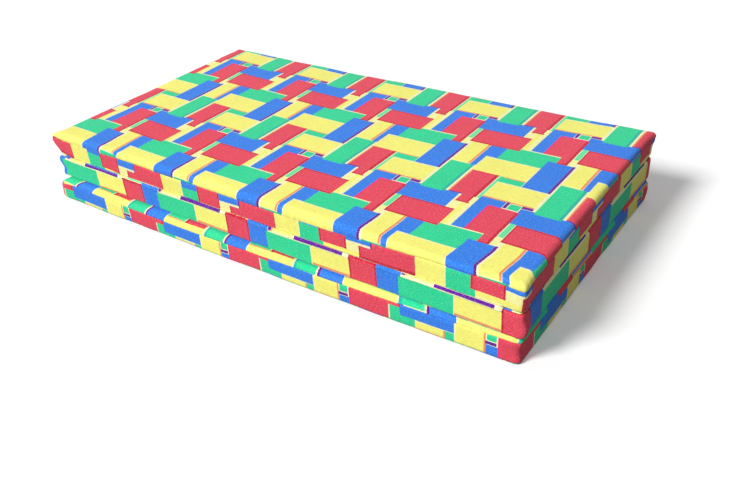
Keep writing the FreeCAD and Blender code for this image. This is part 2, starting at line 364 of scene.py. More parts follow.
class SharedEffects:
    """Node groups that several finishes use, each built once."""

    def __init__(self) -> None:
        """Builds every group."""
        self.block = self._block()
        self.block_print = self._block_print()
        self.weave = self._weave()

    @staticmethod
    def _block() -> bpy.types.NodeTree:
        """One repeated rectangle of dye laid over a base colour.

        Returns:
            The group, with Color coming out.
        """
        takes = {"Base": "Color", "Cloth": "Vector", "Centre": "Vector", "Half": "Vector", "Dye": "Color"}
        tree, wires, source, sink = group_tree("print_block", takes, {"Color": "Color"})
        half_repeat = (REPEAT_ACROSS * MM / 2, REPEAT_DOWN * MM / 2, 1.0)
        away = wires.vector("SUBTRACT", source.outputs["Cloth"], source.outputs["Centre"])
        wrapped = wires.vector("WRAP", away, half_repeat, tuple(-x for x in half_repeat))
        past = wires.vector("SUBTRACT", wires.vector("ABSOLUTE", wrapped), source.outputs["Half"])
        parts = wires.parts(past)
        outside = wires.math("MAXIMUM", parts[0], parts[1])
        inside = wires.spread(outside, -EDGE_SOFTNESS, EDGE_SOFTNESS, (1.0, 0.0))
        wires.feed(sink.inputs[0], wires.mix(inside, source.outputs["Base"], source.outputs["Dye"]))
        return tree

    def _block_print(self) -> bpy.types.NodeTree:
        """The whole print: every block of the repeat in order, with slightly bled edges.

        Returns:
            The group, with Cloth going in and Color coming out.
        """
        tree, wires, source, sink = group_tree("block_print", {"Cloth": "Vector"}, {"Color": "Color"})
        cloth = source.outputs["Cloth"]
        bleed = wires.add("TexNoise")
        wires.feed(bleed.inputs["Vector"], cloth)
        bleed.inputs["Scale"].default_value = BLEED_SCALE
        shift = wires.vector("SUBTRACT", bleed.outputs["Color"], (0.5, 0.5, 0.5))
        scaled = wires.vector("MULTIPLY", shift, (BLEED_REACH, BLEED_REACH, 0.0))
        cloth = wires.vector("ADD", cloth, scaled)
        colour: object = linear(Dye.GROUND.value)
        for block in BLOCKS:
            centre = ((block.left + block.right) / 2 * MM, (block.top + block.bottom) / 2 * MM, 0.0)
            half = ((block.right - block.left) / 2 * MM, (block.bottom - block.top) / 2 * MM, 1.0)
            dye = linear(block.dye.value)
            node = wires.group(self.block, Base=colour, Cloth=cloth, Centre=centre, Half=half, Dye=dye)
            colour = node.outputs[0]
        wires.feed(sink.inputs[0], colour)
        return tree

    @staticmethod
    def _weave() -> bpy.types.NodeTree:
        """Plain weave: thread height, and slubs that lighten or darken single threads.

        Returns:
            The group, with Height and Slub coming out.
        """
        takes = {"Cloth": "Vector", "Threads per metre": "Float"}
        gives = {"Height": "Float", "Slub": "Float"}
        tree, wires, source, sink = group_tree("plain_weave", takes, gives)
        parts = wires.parts(source.outputs["Cloth"])
        turns = wires.math("MULTIPLY", source.outputs["Threads per metre"], math.pi)
        warp = wires.math("SINE", wires.math("MULTIPLY", parts[0], turns))
        weft = wires.math("SINE", wires.math("MULTIPLY", parts[1], turns))
        over = wires.math("MULTIPLY", warp, weft)
        wires.feed(sink.inputs["Height"], wires.math("MULTIPLY_ADD", over, 0.5, 0.5))
        down = wires.vector("MULTIPLY", source.outputs["Cloth"], (1.0, SLUB_STRETCH, 1.0))
        across = wires.vector("MULTIPLY", source.outputs["Cloth"], (SLUB_STRETCH, 1.0, 1.0))
        warp_slub = wires.noise(down, SLUB_SCALE)
        weft_slub = wires.noise(across, SLUB_SCALE)
        both = wires.math("ADD", warp_slub, weft_slub)
        wires.feed(sink.inputs["Slub"], wires.math("SUBTRACT", both, 1.0))
        return tree


# ---------------------------------------------------------------- finishes


def new_material(name: str) -> tuple[bpy.types.Material, Wiring, bpy.types.Node]:
    """Makes a material with a Principled shader.

    Args:
        name: The material's name.

    Returns:
        The material, the wiring of its tree, and the shader.
    """
    material = bpy.data.materials.new(name)
    material.use_nodes = True
    shader = material.node_tree.nodes["Principled BSDF"]
    return material, Wiring(material.node_tree), shader


@dataclass(frozen=True)
class PrintedCotton:
    """Block-printed plain-weave cotton of the covers."""

    threads_per_metre: float = 1500.0
    roughness: float = 0.86
    sheen: float = 0.12
    fleck: float = 0.17
    slub_tone: float = 0.42
    mottle_tone: float = 0.14
    pucker_pitch: float = 17 * MM
    pucker_fade: float = 7 * MM
    pucker_height: float = 0.35
    fold_height: float = 2.2 * MM
    thread_height: float = 0.18 * MM

    def make(self, shared: SharedEffects) -> bpy.types.Material:
        """Builds the material, which reads each piece's own cloth and seam maps.

        Args:
            shared: The shared effects.

        Returns:
            The material.
        """
        material, wires, shader = new_material("printed_cotton")
        cloth = wires.add("UVMap", uv_map="cloth").outputs[0]
        seam = wires.add("UVMap", uv_map="seam").outputs[0]
        pattern = wires.group(shared.block_print, Cloth=cloth)
        weave = wires.group(shared.weave, Cloth=cloth, Threads_per_metre=self.threads_per_metre)
        mottle = wires.noise(cloth, 14.0, 4.0)
        tone = wires.math("MULTIPLY_ADD", weave.outputs["Slub"], self.slub_tone, 1.0)
        tone = wires.math("MULTIPLY_ADD", wires.math("SUBTRACT", mottle, 0.5), self.mottle_tone, tone)
        grey = wires.fed("CombineXYZ", (tone, tone, tone))
        fleck = wires.spread(wires.noise(cloth, 380.0, 3.0), 0.48, 0.74, (0.0, self.fleck))
        worn = wires.mix(fleck, pattern.outputs["Color"], linear(Dye.GROUND.value))
        wires.feed(shader.inputs["Base Color"], wires.mix(1.0, worn, grey, "MULTIPLY"))
        along_seam, from_seam, _ = wires.parts(seam)
        drift = wires.math("MULTIPLY", wires.noise(seam, 9.0), 30.0)
        turns = wires.math("MULTIPLY_ADD", along_seam, 2 * math.pi / self.pucker_pitch, drift)
        fade = wires.math("POWER", 0.5, wires.math("DIVIDE", from_seam, self.pucker_fade))
        pucker = wires.math("MULTIPLY", wires.math("SINE", turns), fade)
        soft = wires.noise(cloth, 22.0, 3.0)
        uneven = wires.math("ADD", wires.math("MULTIPLY", pucker, self.pucker_height), soft)
        folds = wires.bump(uneven, 0.5, self.fold_height)
        fine = wires.bump(weave.outputs["Height"], 0.35, self.thread_height, folds)
        wires.feed(shader.inputs["Normal"], fine)
        rough = wires.math("MULTIPLY_ADD", weave.outputs["Slub"], 0.2, self.roughness)
        wires.feed(shader.inputs["Roughness"], rough)
        shader.inputs["Specular IOR Level"].default_value = 0.25
        shader.inputs["Sheen Weight"].default_value = self.sheen
        shader.inputs["Sheen Roughness"].default_value = 0.5
        return material


@dataclass(frozen=True)
class OpenFoam:
    """Open-cell foam of the cores, with its cut cells."""

    colour: tuple[float, float, float] = (0.95, 0.90, 0.72)
    cell: float = 2.2 * MM

    def make(self) -> bpy.types.Material:
        """Builds the material on Object coordinates.

        Returns:
            The material.
        """
        material, wires, shader = new_material("open_foam")
        place = wires.add("TexCoord").outputs["Object"]
        cells = wires.add("TexVoronoi", feature="F1")
        wires.feed(cells.inputs["Vector"], place)
        cells.inputs["Scale"].default_value = 1 / self.cell
        # Each cell is darker towards its middle, where its bump is lowest: painted shade in the hollows of
        # the open cells.
        pit_shade = wires.spread(cells.outputs["Distance"], 0.1, 0.7, (1.0, 0.0))
        stain = wires.noise(place, 6.0, 3.0)
        base = wires.mix(stain, linear(self.colour), darker(self.colour, 0.84))
        wires.feed(shader.inputs["Base Color"], wires.mix(pit_shade, base, darker(self.colour, 0.7)))
        wires.feed(shader.inputs["Normal"], wires.bump(cells.outputs["Distance"], 0.7, 0.8 * MM))
        wires.feed(shader.inputs["Roughness"], wires.math("MULTIPLY_ADD", stain, 0.1, 0.88))
        return material


@dataclass(frozen=True)
class WovenTape:
    """Zip tape, woven in a fine herringbone."""

    colour: tuple[float, float, float] = (0.93, 0.90, 0.76)
    threads_per_metre: float = 2200.0
    herringbone: float = 2 * MM
    rib_pitch: float = 1.1 * MM

    def make(self, shared: SharedEffects) -> bpy.types.Material:
        """Builds the material on Object coordinates, with the weave along the left end.

        Args:
            shared: The shared effects.

        Returns:
            The material.
        """
        material, wires, shader = new_material("woven_tape")
        place = wires.add("TexCoord").outputs["Object"]
        turned = wires.add("Mapping")
        turned.inputs["Rotation"].default_value = (0.0, math.pi / 2, 0.0)
        wires.feed(turned.inputs["Vector"], place)
        turned_place = turned.outputs[0]
        weave = wires.group(shared.weave, Cloth=turned_place, Threads_per_metre=self.threads_per_metre)
        parts = wires.parts(place)
        across = wires.math("PINGPONG", parts[2], self.herringbone)
        slant = wires.math("ADD", across, parts[1])
        rib = wires.math("SINE", wires.math("MULTIPLY", slant, 2 * math.pi / self.rib_pitch))
        tone = wires.math("MULTIPLY_ADD", rib, 0.5, 0.5)
        # The colour follows the rib's height and is darker on its low side: painted shade in the
        # herringbone's grooves.
        colour = wires.mix(tone, darker(self.colour, 0.8), linear(self.colour))
        wires.feed(shader.inputs["Base Color"], colour)
        height = wires.math("ADD", tone, weave.outputs["Height"])
        wires.feed(shader.inputs["Normal"], wires.bump(height, 0.5, 0.15 * MM))
        wires.feed(shader.inputs["Roughness"], wires.math("MULTIPLY_ADD", tone, 0.1, 0.75))
        shader.inputs["Sheen Weight"].default_value = 0.1
        return material


@dataclass(frozen=True)
class MouldedNylon:
    """Nylon of the coil chain."""

    colour: tuple[float, float, float] = (0.90, 0.88, 0.78)

    def make(self) -> bpy.types.Material:
        """Builds the material on Object coordinates.

        Returns:
            The material.
        """
        material, wires, shader = new_material("moulded_nylon")
        place = wires.add("TexCoord").outputs["Object"]
        haze = wires.noise(place, 700.0, 3.0)
        colour = wires.mix(haze, darker(self.colour, 0.86), linear(self.colour))
        wires.feed(shader.inputs["Base Color"], colour)
        wires.feed(shader.inputs["Roughness"], wires.math("MULTIPLY_ADD", haze, 0.2, 0.32))
        wires.feed(shader.inputs["Normal"], wires.bump(haze, 0.2, 0.05 * MM))
        return material


@dataclass(frozen=True)
class PlatedMetal:
    """Nickel-plated zinc of the sliders, pulls and stops."""

    colour: tuple[float, float, float] = (0.78, 0.78, 0.79)

    def make(self) -> bpy.types.Material:
        """Builds the material on Object coordinates, duller where it is rubbed.

        Returns:
            The material.
        """
        material, wires, shader = new_material("plated_metal")
        place = wires.add("TexCoord").outputs["Object"]
        rub = wires.noise(place, 420.0, 4.0)
        fine = wires.noise(place, 2600.0, 2.0)
        colour = wires.mix(rub, darker(self.colour, 0.78), linear(self.colour))
        wires.feed(shader.inputs["Base Color"], colour)
        wires.feed(shader.inputs["Roughness"], wires.math("MULTIPLY_ADD", rub, 0.25, 0.2))
        wires.feed(shader.inputs["Normal"], wires.bump(fine, 0.15, 0.03 * MM))
        shader.inputs["Metallic"].default_value = 1.0
        return material


@dataclass(frozen=True)
class StudioFloor:
    """Plain white floor that keeps the mattress's shadow and throws back little light."""

    colour: tuple[float, float, float] = (0.97, 0.97, 0.97)
    thrown: tuple[float, float, float] = (0.50, 0.50, 0.50)
    glow: float = 0.16

    def make(self) -> bpy.types.Material:
        """Builds the material on Object coordinates.

        Returns:
            The material.
        """
        material, wires, shader = new_material("studio_floor")
        place = wires.add("TexCoord").outputs["Object"]
        mottle = wires.noise(place, 1.5, 2.0)
        pale = wires.mix(mottle, darker(self.colour, 0.99), linear(self.colour))
        seen = wires.add("LightPath").outputs["Is Camera Ray"]
        wires.feed(shader.inputs["Base Color"], wires.mix(seen, linear(self.thrown), pale))
        wires.feed(shader.inputs["Emission Strength"], wires.math("MULTIPLY", seen, self.glow))
        shader.inputs["Emission Color"].default_value = (1.0, 1.0, 1.0, 1.0)
        shader.inputs["Roughness"].default_value = 0.95
        shader.inputs["Specular IOR Level"].default_value = 0.05
        return material


# ---------------------------------------------------------------- panel forms


def grid_quads(index: np.ndarray, turned: bool) -> list[tuple[int, ...]]:
    """Faces between the points of a grid.

    Args:
        index: The points' indices, row by row.
        turned: Whether the faces look the other way.

    Returns:
        The four points of each face.
    """
    a, b, c, d = index[:-1, :-1], index[:-1, 1:], index[1:, 1:], index[1:, :-1]
    order = (a, d, c, b) if turned else (a, b, c, d)
    return [tuple(q) for q in np.stack([o.ravel() for o in order], 1).tolist()]


@dataclass(frozen=True)
class Sides:
    """One value for each side of a panel."""

    front: float
    right: float
    back: float
    left: float

    def along(self, normals: np.ndarray) -> np.ndarray:
        """Values round an outline, blended through the corners by its normals.

        Args:
            normals: The outline's outward normals, in plan.

        Returns:
            One value for each normal.
        """
        x_value = np.where(normals[:, 0] > 0, self.right, self.left)
        y_value = np.where(normals[:, 1] > 0, self.back, self.front)
        return normals[:, 0] ** 2 * x_value + normals[:, 1] ** 2 * y_value

    def values(self) -> tuple[float, float, float, float]:
        """The four values in order."""
        return self.front, self.right, self.back, self.left

    def each(self, change: Callable[[float], float]) -> "Sides":
        """The four values, each put through a function."""
        return Sides(*map(change, self.values()))


@dataclass(frozen=True)
class RollPlace:
    """A place on a rolled edge: how far in it stands, how far it has fallen, and the cloth to it."""

    inset: float
    fall: float
    length: float


def on_roll(radius: float, drop: float, share: float) -> RollPlace:
    """Where a share of a rolled edge's cloth lies.

    Args:
        radius: The edge's radius.
        drop: Height from the face down to the seam.
        share: 0 at the face, 1 at the seam.

    Returns:
        The place.
    """
    whole = math.acos(max(0.0, 1 - drop / radius)) * radius + max(0.0, drop - radius)
    length = share * whole
    angle = min(length / radius, math.pi / 2)
    fall = radius * (1 - math.cos(angle)) + max(0.0, length - radius * math.pi / 2)
    return RollPlace(radius * (1 - math.sin(angle)), fall, length)


def wall_inset(radius: float, depth: float) -> float:
    """How far in a wall stands beside a rolled edge, at a depth below the edge's face."""
    rise = max(0.0, radius - max(depth, 0.0))
    return radius - math.sqrt(max(radius**2 - rise**2, 0.0))


@dataclass(frozen=True)
class Pull:
    """How a face's cloth was pulled as it was sewn, in millimetres along its own two axes.

    Each tuple holds the weights of 1, x, y, x squared, xy, y squared, x squared y, x y squared and
    x squared y squared, where x and y run from -1 to 1 over the face.
    """

    across: tuple[float, ...]
    down: tuple[float, ...]

    def shift(self, x: np.ndarray, y: np.ndarray) -> tuple[np.ndarray, np.ndarray]:
        """The two shifts at places on the face, in metres.

        Args:
            x: Places along the face's first axis, from -1 to 1.
            y: Places along its second axis.

        Returns:
            The shifts across and down.
        """
        x, y = np.clip(x, -1.0, 1.0), np.clip(y, -1.0, 1.0)
        terms = (np.ones_like(x), x, y, x**2, x * y, y**2, x**2 * y, x * y**2, x**2 * y**2)
        across = sum(w * term for w, term in zip(self.across, terms))
        down = sum(w * term for w, term in zip(self.down, terms))
        return across * MM, down * MM


@dataclass(frozen=True)
class ClothPlace:
    """Where a piece was cut from the printed cloth, and which way round it lies.

    The piece's own axes are across and down; the start is in millimetres of the repeat. A slip is
    a length along a strip, and how far its cloth has slipped there across and down the repeat; it
    may fade out over a reach inward from the strip.
    """

    start: tuple[float, float]
    across: tuple[float, float] = (1.0, 0.0)
    down: tuple[float, float] = (0.0, 1.0)
    pull: Pull | None = None
    slips: tuple[tuple[float, float, float], ...] = ()
    slip_reach: float = 0.0

    def map(self, across: np.ndarray, down: np.ndarray, size: Sequence[float]) -> np.ndarray:
        """Cloth coordinates of points of the piece, in metres.

        Args:
            across: The points' places along the piece's first axis.
            down: The points' places along its second axis.
            size: The piece's size along both axes.

        Returns:
            One pair for each point.
        """
        if self.pull is not None:
            first, second = self.pull.shift(2 * across / size[0] - 1, 2 * down / size[1] - 1)
            across, down = across - first, down - second
        u = self.start[0] * MM + across * self.across[0] + down * self.down[0]
        v = self.start[1] * MM + across * self.across[1] + down * self.down[1]
        if self.slips:
            lengths, slips_u, slips_v = zip(*self.slips)
            share = np.clip(1 - down / self.slip_reach, 0.0, 1.0) if self.slip_reach else 1.0
            u = u + np.interp(across / MM, lengths, slips_u) * share * MM
            v = v + np.interp(across / MM, lengths, slips_v) * share * MM
        return np.stack([u, v], 1)


@dataclass(frozen=True)
class Nudge:
    """A soft push at one place of a panel, in millimetres of the shared frame."""

    place: tuple[float, float, float]
    reach: tuple[float, float, float]
    move: tuple[float, float, float]

    def shift(self, points: np.ndarray) -> np.ndarray:
        """How far the push moves each point.

        Args:
            points: The points, in metres.

        Returns:
            One move for each point.
        """
        away = (points - np.array(self.place) * MM) / (np.array(self.reach) * MM)
        fade = np.clip(1 - (away**2).sum(1), 0.0, 1.0) ** 2
        return fade[:, None] * np.array(self.move) * MM


@dataclass
class Patch:
    """A mesh in the making: its points, faces, and cloth and seam coordinates."""

    points: np.ndarray
    faces: list[tuple[int, ...]]
    cloth: np.ndarray
    seam: np.ndarray


FINE_STEP = 4.2 * MM
COARSE_STEP = 13.0 * MM
FINE_REACH = 110 * MM


def stations(length: float, fixed: float | None = None) -> np.ndarray:
    """Places along a side as shares of its length, closer together near its corners.

    Args:
        length: The side's length.
        fixed: A distance from either end where a place has to be.

    Returns:
        Shares from 0 to 1.
    """
    s = np.linspace(0.0, length, 4001)
    corner = np.minimum(s, length - s)
    step = FINE_STEP + (COARSE_STEP - FINE_STEP) * np.clip(corner / FINE_REACH, 0.0, 1.0)
    count = np.concatenate([[0.0], np.cumsum((s[1:] - s[:-1]) / ((step[1:] + step[:-1]) / 2))])
    steps = round(count[-1])
    places = np.interp(np.linspace(0.0, count[-1], steps + 1), count, s)
    if fixed is not None:
        nearest = places[int(np.argmin(np.abs(places - fixed)))]
        marks = (0.0, nearest, length - nearest, length)
        places = np.interp(places, marks, (0.0, fixed, length - fixed, length))
    return places / length


def along(profile: Sequence[tuple[float, float]], lengths: np.ndarray) -> np.ndarray:
    """Reads a profile of places and values, both in millimetres, at some lengths in metres."""
    places, values = zip(*profile)
    return np.interp(lengths / MM, places, values) * MM


@dataclass
class Panel:
    """One foam panel in its cover: its form, and the pieces made on that form.

    The seam dip, the bow and the presses are pairs in millimetres: a length from the left end, and
    how far the cloth moves there.
    """

    name: str
    crown: float
    upper_radius: Sides
    lower_radius: Sides
    face_place: ClothPlace
    band_place: ClothPlace
    under_place: ClothPlace
    front_limit: float
    back_limit: float
    seed: int
    nudges: tuple[Nudge, ...] = ()
    seam_dip: tuple[tuple[float, float], ...] = ((0, 0),)
    bow: tuple[tuple[float, float], ...] = ((0, 0),)
    upper_press: tuple[tuple[float, float], ...] = ((0, 0),)
    lower_press: tuple[tuple[float, float], ...] = ((0, 0),)
    upper_shift: float = 0.0
    lower_shift: float = 2.2 * MM
    corner: float = 8 * MM
    rim: float = 17 * MM
    long_draw: float = 5 * MM
    short_draw: float = 3 * MM
    fabric: float = 0.8 * MM
    seam_tuck: float = 1.2 * MM
    seam_shoulder: float = 2.6 * MM
    crown_level: float = 40 * MM
    tape_width: float = 18 * MM
    roll_steps: int = 5
    wall_step: float = 5.5 * MM
    resting_gap: float = 0.25 * MM
    swells: tuple[float, float, float] = (190 * MM, 62 * MM, 24 * MM)
    rim_reach: float = 70 * MM
    dip_reach: float = 120 * MM
    gather_reach: float = 60 * MM
    gather_pitch: float = 13 * MM
    gather_height: float = 1.5 * MM
    gather_drift: float = 30 * MM
    sheet_seam_reach: float = 30 * MM
    lower_shares: tuple[float, ...] = (1.0, 0.6, 0.3, 0.0)
    bow_start: float = 0.4
    press_start: float = 0.8
    press_ramp: float = 0.16
    corner_tuck: float = 0.6
    end_depth: float = 5 * MM
    zip_fades: tuple[float, float, float] = (16 * MM, 7 * MM, 10 * MM)
    zip_depth: float = 4 * MM
    points: np.ndarray = field(init=False)

    def __post_init__(self) -> None:
        """Reads the panel's place from its CAD nodes and lays out its rows of points."""
        band_low, band_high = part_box(f"{self.name}_side_band")
        under_low, under_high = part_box(f"{self.name}_lower_sheet")
        face_low, face_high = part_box(f"{self.name}_upper_sheet")
        chain_low, chain_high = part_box(f"{self.name}_zip_chain")
        self.low = np.array([band_low.x, band_low.y, under_low.z + self.resting_gap])
        top = face_high.z - (self.crown or self.resting_gap)
        self.high = np.array([band_high.x, band_high.y, top])
        self.upper_seam = face_low.z + self.upper_shift
        self.lower_seam = under_high.z - self.lower_shift
        self.zip_height = (chain_low.z + chain_high.z) / 2
        self.zip_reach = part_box(f"{self.name}_zip_tapes")[1].y
        size = self.high - self.low
        quarter = self.corner * math.pi / 4
        long_side = size[0] - 2 * self.corner + 2 * quarter
        short_side = size[1] - 2 * self.corner + 2 * quarter
        zip_end = size[1] / 2 - self.zip_reach - self.corner + quarter
        self.x_shares = stations(long_side)
        self.y_shares = stations(short_side, zip_end)
        self.across = len(self.x_shares) - 1
        self.along = len(self.y_shares) - 1
        self.loop = 2 * (self.across + self.along)
        self._lay_out()

    # -- rows of points -------------------------------------------------

    def outline(self, inset: Sides, radius: float) -> tuple[np.ndarray, np.ndarray]:
        """Points round a rounded outline, from the middle of the front left corner.

        Args:
            inset: How far each side stands in from the panel's outline.
            radius: The outline's corner radius.

        Returns:
            The points and their outward normals, both in plan.
        """
        left = self.low[0] + inset.left
        right = self.high[0] - inset.right
        front = self.low[1] + inset.front
        back = self.high[1] - inset.back
        corners = (
            (left + radius, front + radius),
            (right - radius, front + radius),
            (right - radius, back - radius),
            (left + radius, back - radius),
        )
        quarter = radius * math.pi / 4
        points, normals = [], []
        for side in range(4):
            shares = (self.x_shares, self.y_shares)[side % 2]
            if side > 1:
                shares = 1 - shares[::-1]
            start = np.array(corners[side])
            end = np.array(corners[(side + 1) % 4])
            straight = float(np.linalg.norm(end - start))
            heading = (end - start) / straight
            outward = np.array([heading[1], -heading[0]])
            s = shares[:-1] * (straight + 2 * quarter)
            turn = np.minimum(s - quarter, 0) + np.maximum(s - quarter - straight, 0)
            angle = (turn / max(radius, 1e-9))[:, None]
            normal = outward * np.cos(angle) + heading * np.sin(angle)
            points.append(start + heading * np.clip(s - quarter, 0, straight)[:, None] + radius * normal)
            normals.append(normal)
        return np.concatenate(points), np.concatenate(normals)

    def _inner_corner(self, inset: Sides) -> float:
        """Corner radius of an outline that stands in from the panel's own."""
        return max(self.corner - min(inset.values()), 0.5 * MM)

    def _wall_row(self, height: float) -> np.ndarray:
        """Points of the outline at one height of the side wall.

        Args:
            height: The row's height.

        Returns:
            The row's points.
        """
        above, below = self.high[2] - height, height - self.low[2]
        upper = self.upper_radius.each(lambda r: wall_inset(r, above))
        lower = self.lower_radius.each(lambda r: wall_inset(r, below))
        inset = Sides(*map(max, upper.values(), lower.values()))
        points, _ = self.outline(inset, self._inner_corner(inset))
        return np.column_stack([points, np.full(len(points), height)])

    def _roll_row(self, radius: Sides, face: float, seam: float, share: float) -> tuple[np.ndarray, ...]:
        """Points on a rolled edge, a share of the way from its face to its seam.

        Args:
            radius: The edge's radius on each side.
            face: Height of the face that the edge rolls from.
            seam: Height of the seam that it rolls to.
            share: 0 at the face, 1 at the seam.

        Returns:
            The points, their plan normals, and the cloth's length from the roll's start.
        """
        drop = abs(face - seam)
        inset = radius.each(lambda r: on_roll(r, drop, share).inset)
        fall = radius.each(lambda r: on_roll(r, drop, share).fall)
        length = radius.each(lambda r: on_roll(r, drop, share).length)
        points, normals = self.outline(inset, self._inner_corner(inset))
        heights = face + math.copysign(1.0, seam - face) * fall.along(normals)
        return np.column_stack([points, heights]), normals, length.along(normals)

    def _grid(self, height: float) -> np.ndarray:
        """Points of a level face inside its rim, row by row along X.

        Args:
            height: The face's height.

        Returns:
            The grid's points.
        """
        inner_low, inner_high = self.low + self.rim, self.high - self.rim
        xs = inner_low[0] + (inner_high[0] - inner_low[0]) * self.x_shares
        ys = inner_low[1] + (inner_high[1] - inner_low[1]) * self.y_shares
        x, y = np.meshgrid(xs, ys)
        return np.column_stack([x.ravel(), y.ravel(), np.full(x.size, height)])

    def _grid_index(self, start: int) -> np.ndarray:
        """Indices of a grid's points, as rows along X."""
        count = (self.across + 1) * (self.along + 1)
        return start + np.arange(count).reshape(self.along + 1, self.across + 1)

    def _grid_edge(self) -> np.ndarray:
        """Indices of a grid's outer points, in the order of the outline's points."""
        index = self._grid_index(0)
        return np.concatenate([index[0, :-1], index[:-1, -1], index[-1, :0:-1], index[:0:-1, 0]])

    def _lay_out(self) -> None:
        """Makes all rows: upper face, upper roll, side wall, lower roll, lower face."""
        top, base = self.high[2], self.low[2]
        grid = self._grid(top)
        self.grid_count = len(grid)
        self.rows: list[np.ndarray] = []
        flats: list[np.ndarray] = []
        under_flats: list[np.ndarray] = []
        start, _, _ = self._roll_row(self.upper_radius, top, self.upper_seam, 0.0)
        _, _, whole = self._roll_row(self.upper_radius, top, self.upper_seam, 1.0)
        shoulder = 1 - self.seam_shoulder / float(whole.max())
        for step in range(self.roll_steps + 2):
            share = min(step / self.roll_steps, 1.0) * shoulder if step <= self.roll_steps else 1.0
            row, normals, length = self._roll_row(self.upper_radius, top, self.upper_seam, share)
            self.rows.append(row)
            flats.append(start[:, :2] + normals * length[:, None])
        self.upper_rows = len(self.rows)
        self.rows += [self._wall_row(height) for height in self._wall_heights()]
        self.wall_rows = len(self.rows) - self.upper_rows
        start, _, _ = self._roll_row(self.lower_radius, base, self.lower_seam, 0.0)
        for share in self.lower_shares:
            row, normals, length = self._roll_row(self.lower_radius, base, self.lower_seam, share)
            self.rows.append(row)
            under_flats.append(start[:, :2] + normals * length[:, None])
        self.flats = (flats[0], flats[-1])
        self.under_flats = (under_flats[-1], under_flats[0])
        self.points = np.concatenate([grid, *self.rows, self._grid(base)])
        self.rest = self.points.copy()

    def _wall_heights(self) -> list[float]:
        """Heights of the side wall's rows, between the two seams.

        Returns:
            The heights, from the upper seam down.
        """
        half_tape = self.tape_width / 2
        high = self.upper_seam - self.seam_shoulder
        low = self.lower_seam + self.seam_shoulder
        upper_edge, lower_edge = self.zip_height + half_tape, self.zip_height - half_tape
        marks = [high, upper_edge, self.zip_height, lower_edge, low]
        heights: list[float] = []
        for start, end in zip(marks, marks[1:]):
            steps = max(1, round((start - end) / self.wall_step))
            heights += [start + (end - start) * i / steps for i in range(steps)]
        return [*heights, low]

    # -- indices and faces ----------------------------------------------

    def row_index(self, row: int) -> np.ndarray:
        """Point indices of a row; row -1 is the upper grid's edge, the last the lower grid's.

        Args:
            row: The row's number.

        Returns:
            The indices of its points.
        """
        if row < 0:
            return self._grid_edge()
        if row < len(self.rows):
            return self.grid_count + row * self.loop + np.arange(self.loop)
        return self.grid_count + len(self.rows) * self.loop + self._grid_edge()

    def _seam_rows(self) -> tuple[int, int]:
        """The rows of the upper and the lower seam."""
        return self.upper_rows - 1, self.upper_rows + self.wall_rows

    def _grid_faces(self, start: int, upward: bool) -> list[tuple[int, ...]]:
        """Faces of a grid whose first point has the given index."""
        return grid_quads(self._grid_index(start), not upward)

    def _wall_faces(self, first: int, last: int, keep: np.ndarray | None = None) -> list[tuple[int, ...]]:
        """Faces between rows, all round or only at the outline places that are kept.

        Args:
            first: The first row.
            last: The last row.
            keep: Which steps round the outline are kept, if not all.

        Returns:
            The faces.
        """
        faces: list[tuple[int, ...]] = []
        for row in range(first, last):
            a, b = self.row_index(row), self.row_index(row + 1)
            quads = np.stack([a, b, np.roll(b, -1), np.roll(a, -1)], 1)
            if keep is not None:
                quads = quads[keep]
            faces += [tuple(q) for q in quads.tolist()]
        return faces

    def closed_faces(self) -> list[tuple[int, ...]]:
        """Faces of the whole closed form.

        Returns:
            The faces, looking outwards.
        """
        last = len(self.rows)
        faces = self._grid_faces(0, True)
        faces += self._wall_faces(-1, last)
        faces += self._grid_faces(self.grid_count + last * self.loop, False)
        return faces

    def zip_mask(self) -> np.ndarray:
        """Which steps round the outline belong to the zip band.

        Returns:
            One answer for each step.
        """
        nominal = self.rows[self.upper_rows + 1]
        middle = (nominal + np.roll(nominal, -1, axis=0)) / 2
        left = middle[:, 0] < self.low[0] + self.end_depth
        return left & (np.abs(middle[:, 1]) < self.zip_reach)

    def outward(self) -> np.ndarray:
        """Unit normals of the closed form at its points.

        Returns:
            One normal for each point.
        """
        quads = np.array(self.closed_faces())
        corners = self.points[quads]
        facing = np.cross(corners[:, 2] - corners[:, 0], corners[:, 3] - corners[:, 1])
        normals = np.zeros_like(self.points)
        for column in range(4):
            np.add.at(normals, quads[:, column], facing)
        return normals / np.maximum(np.linalg.norm(normals, axis=1), 1e-12)[:, None]

    # -- form -----------------------------------------------------------

    def rim_distance(self) -> np.ndarray:
        """Distance in plan from the panel's outline, for every point."""
        inside = np.minimum(self.rest[:, :2] - self.low[:2], self.high[:2] - self.rest[:, :2])
        return np.maximum(inside.min(1), 0.0)

    def zip_share(self) -> np.ndarray:
        """1 on the zip's straight run, falling to 0 a little way off.

        Returns:
            One share for each point.
        """
        past = np.abs(self.rest[:, 1]) - self.zip_reach
        above = np.abs(self.rest[:, 2] - self.zip_height) - self.tape_width / 2
        inward = self.rest[:, 0] - self.low[0] - self.zip_depth
        away = [np.clip(v / fade, 0.0, 1.0) for v, fade in zip((past, above, inward), self.zip_fades)]
        return np.clip(1 - np.sqrt(sum(share**2 for share in away)), 0.0, 1.0)

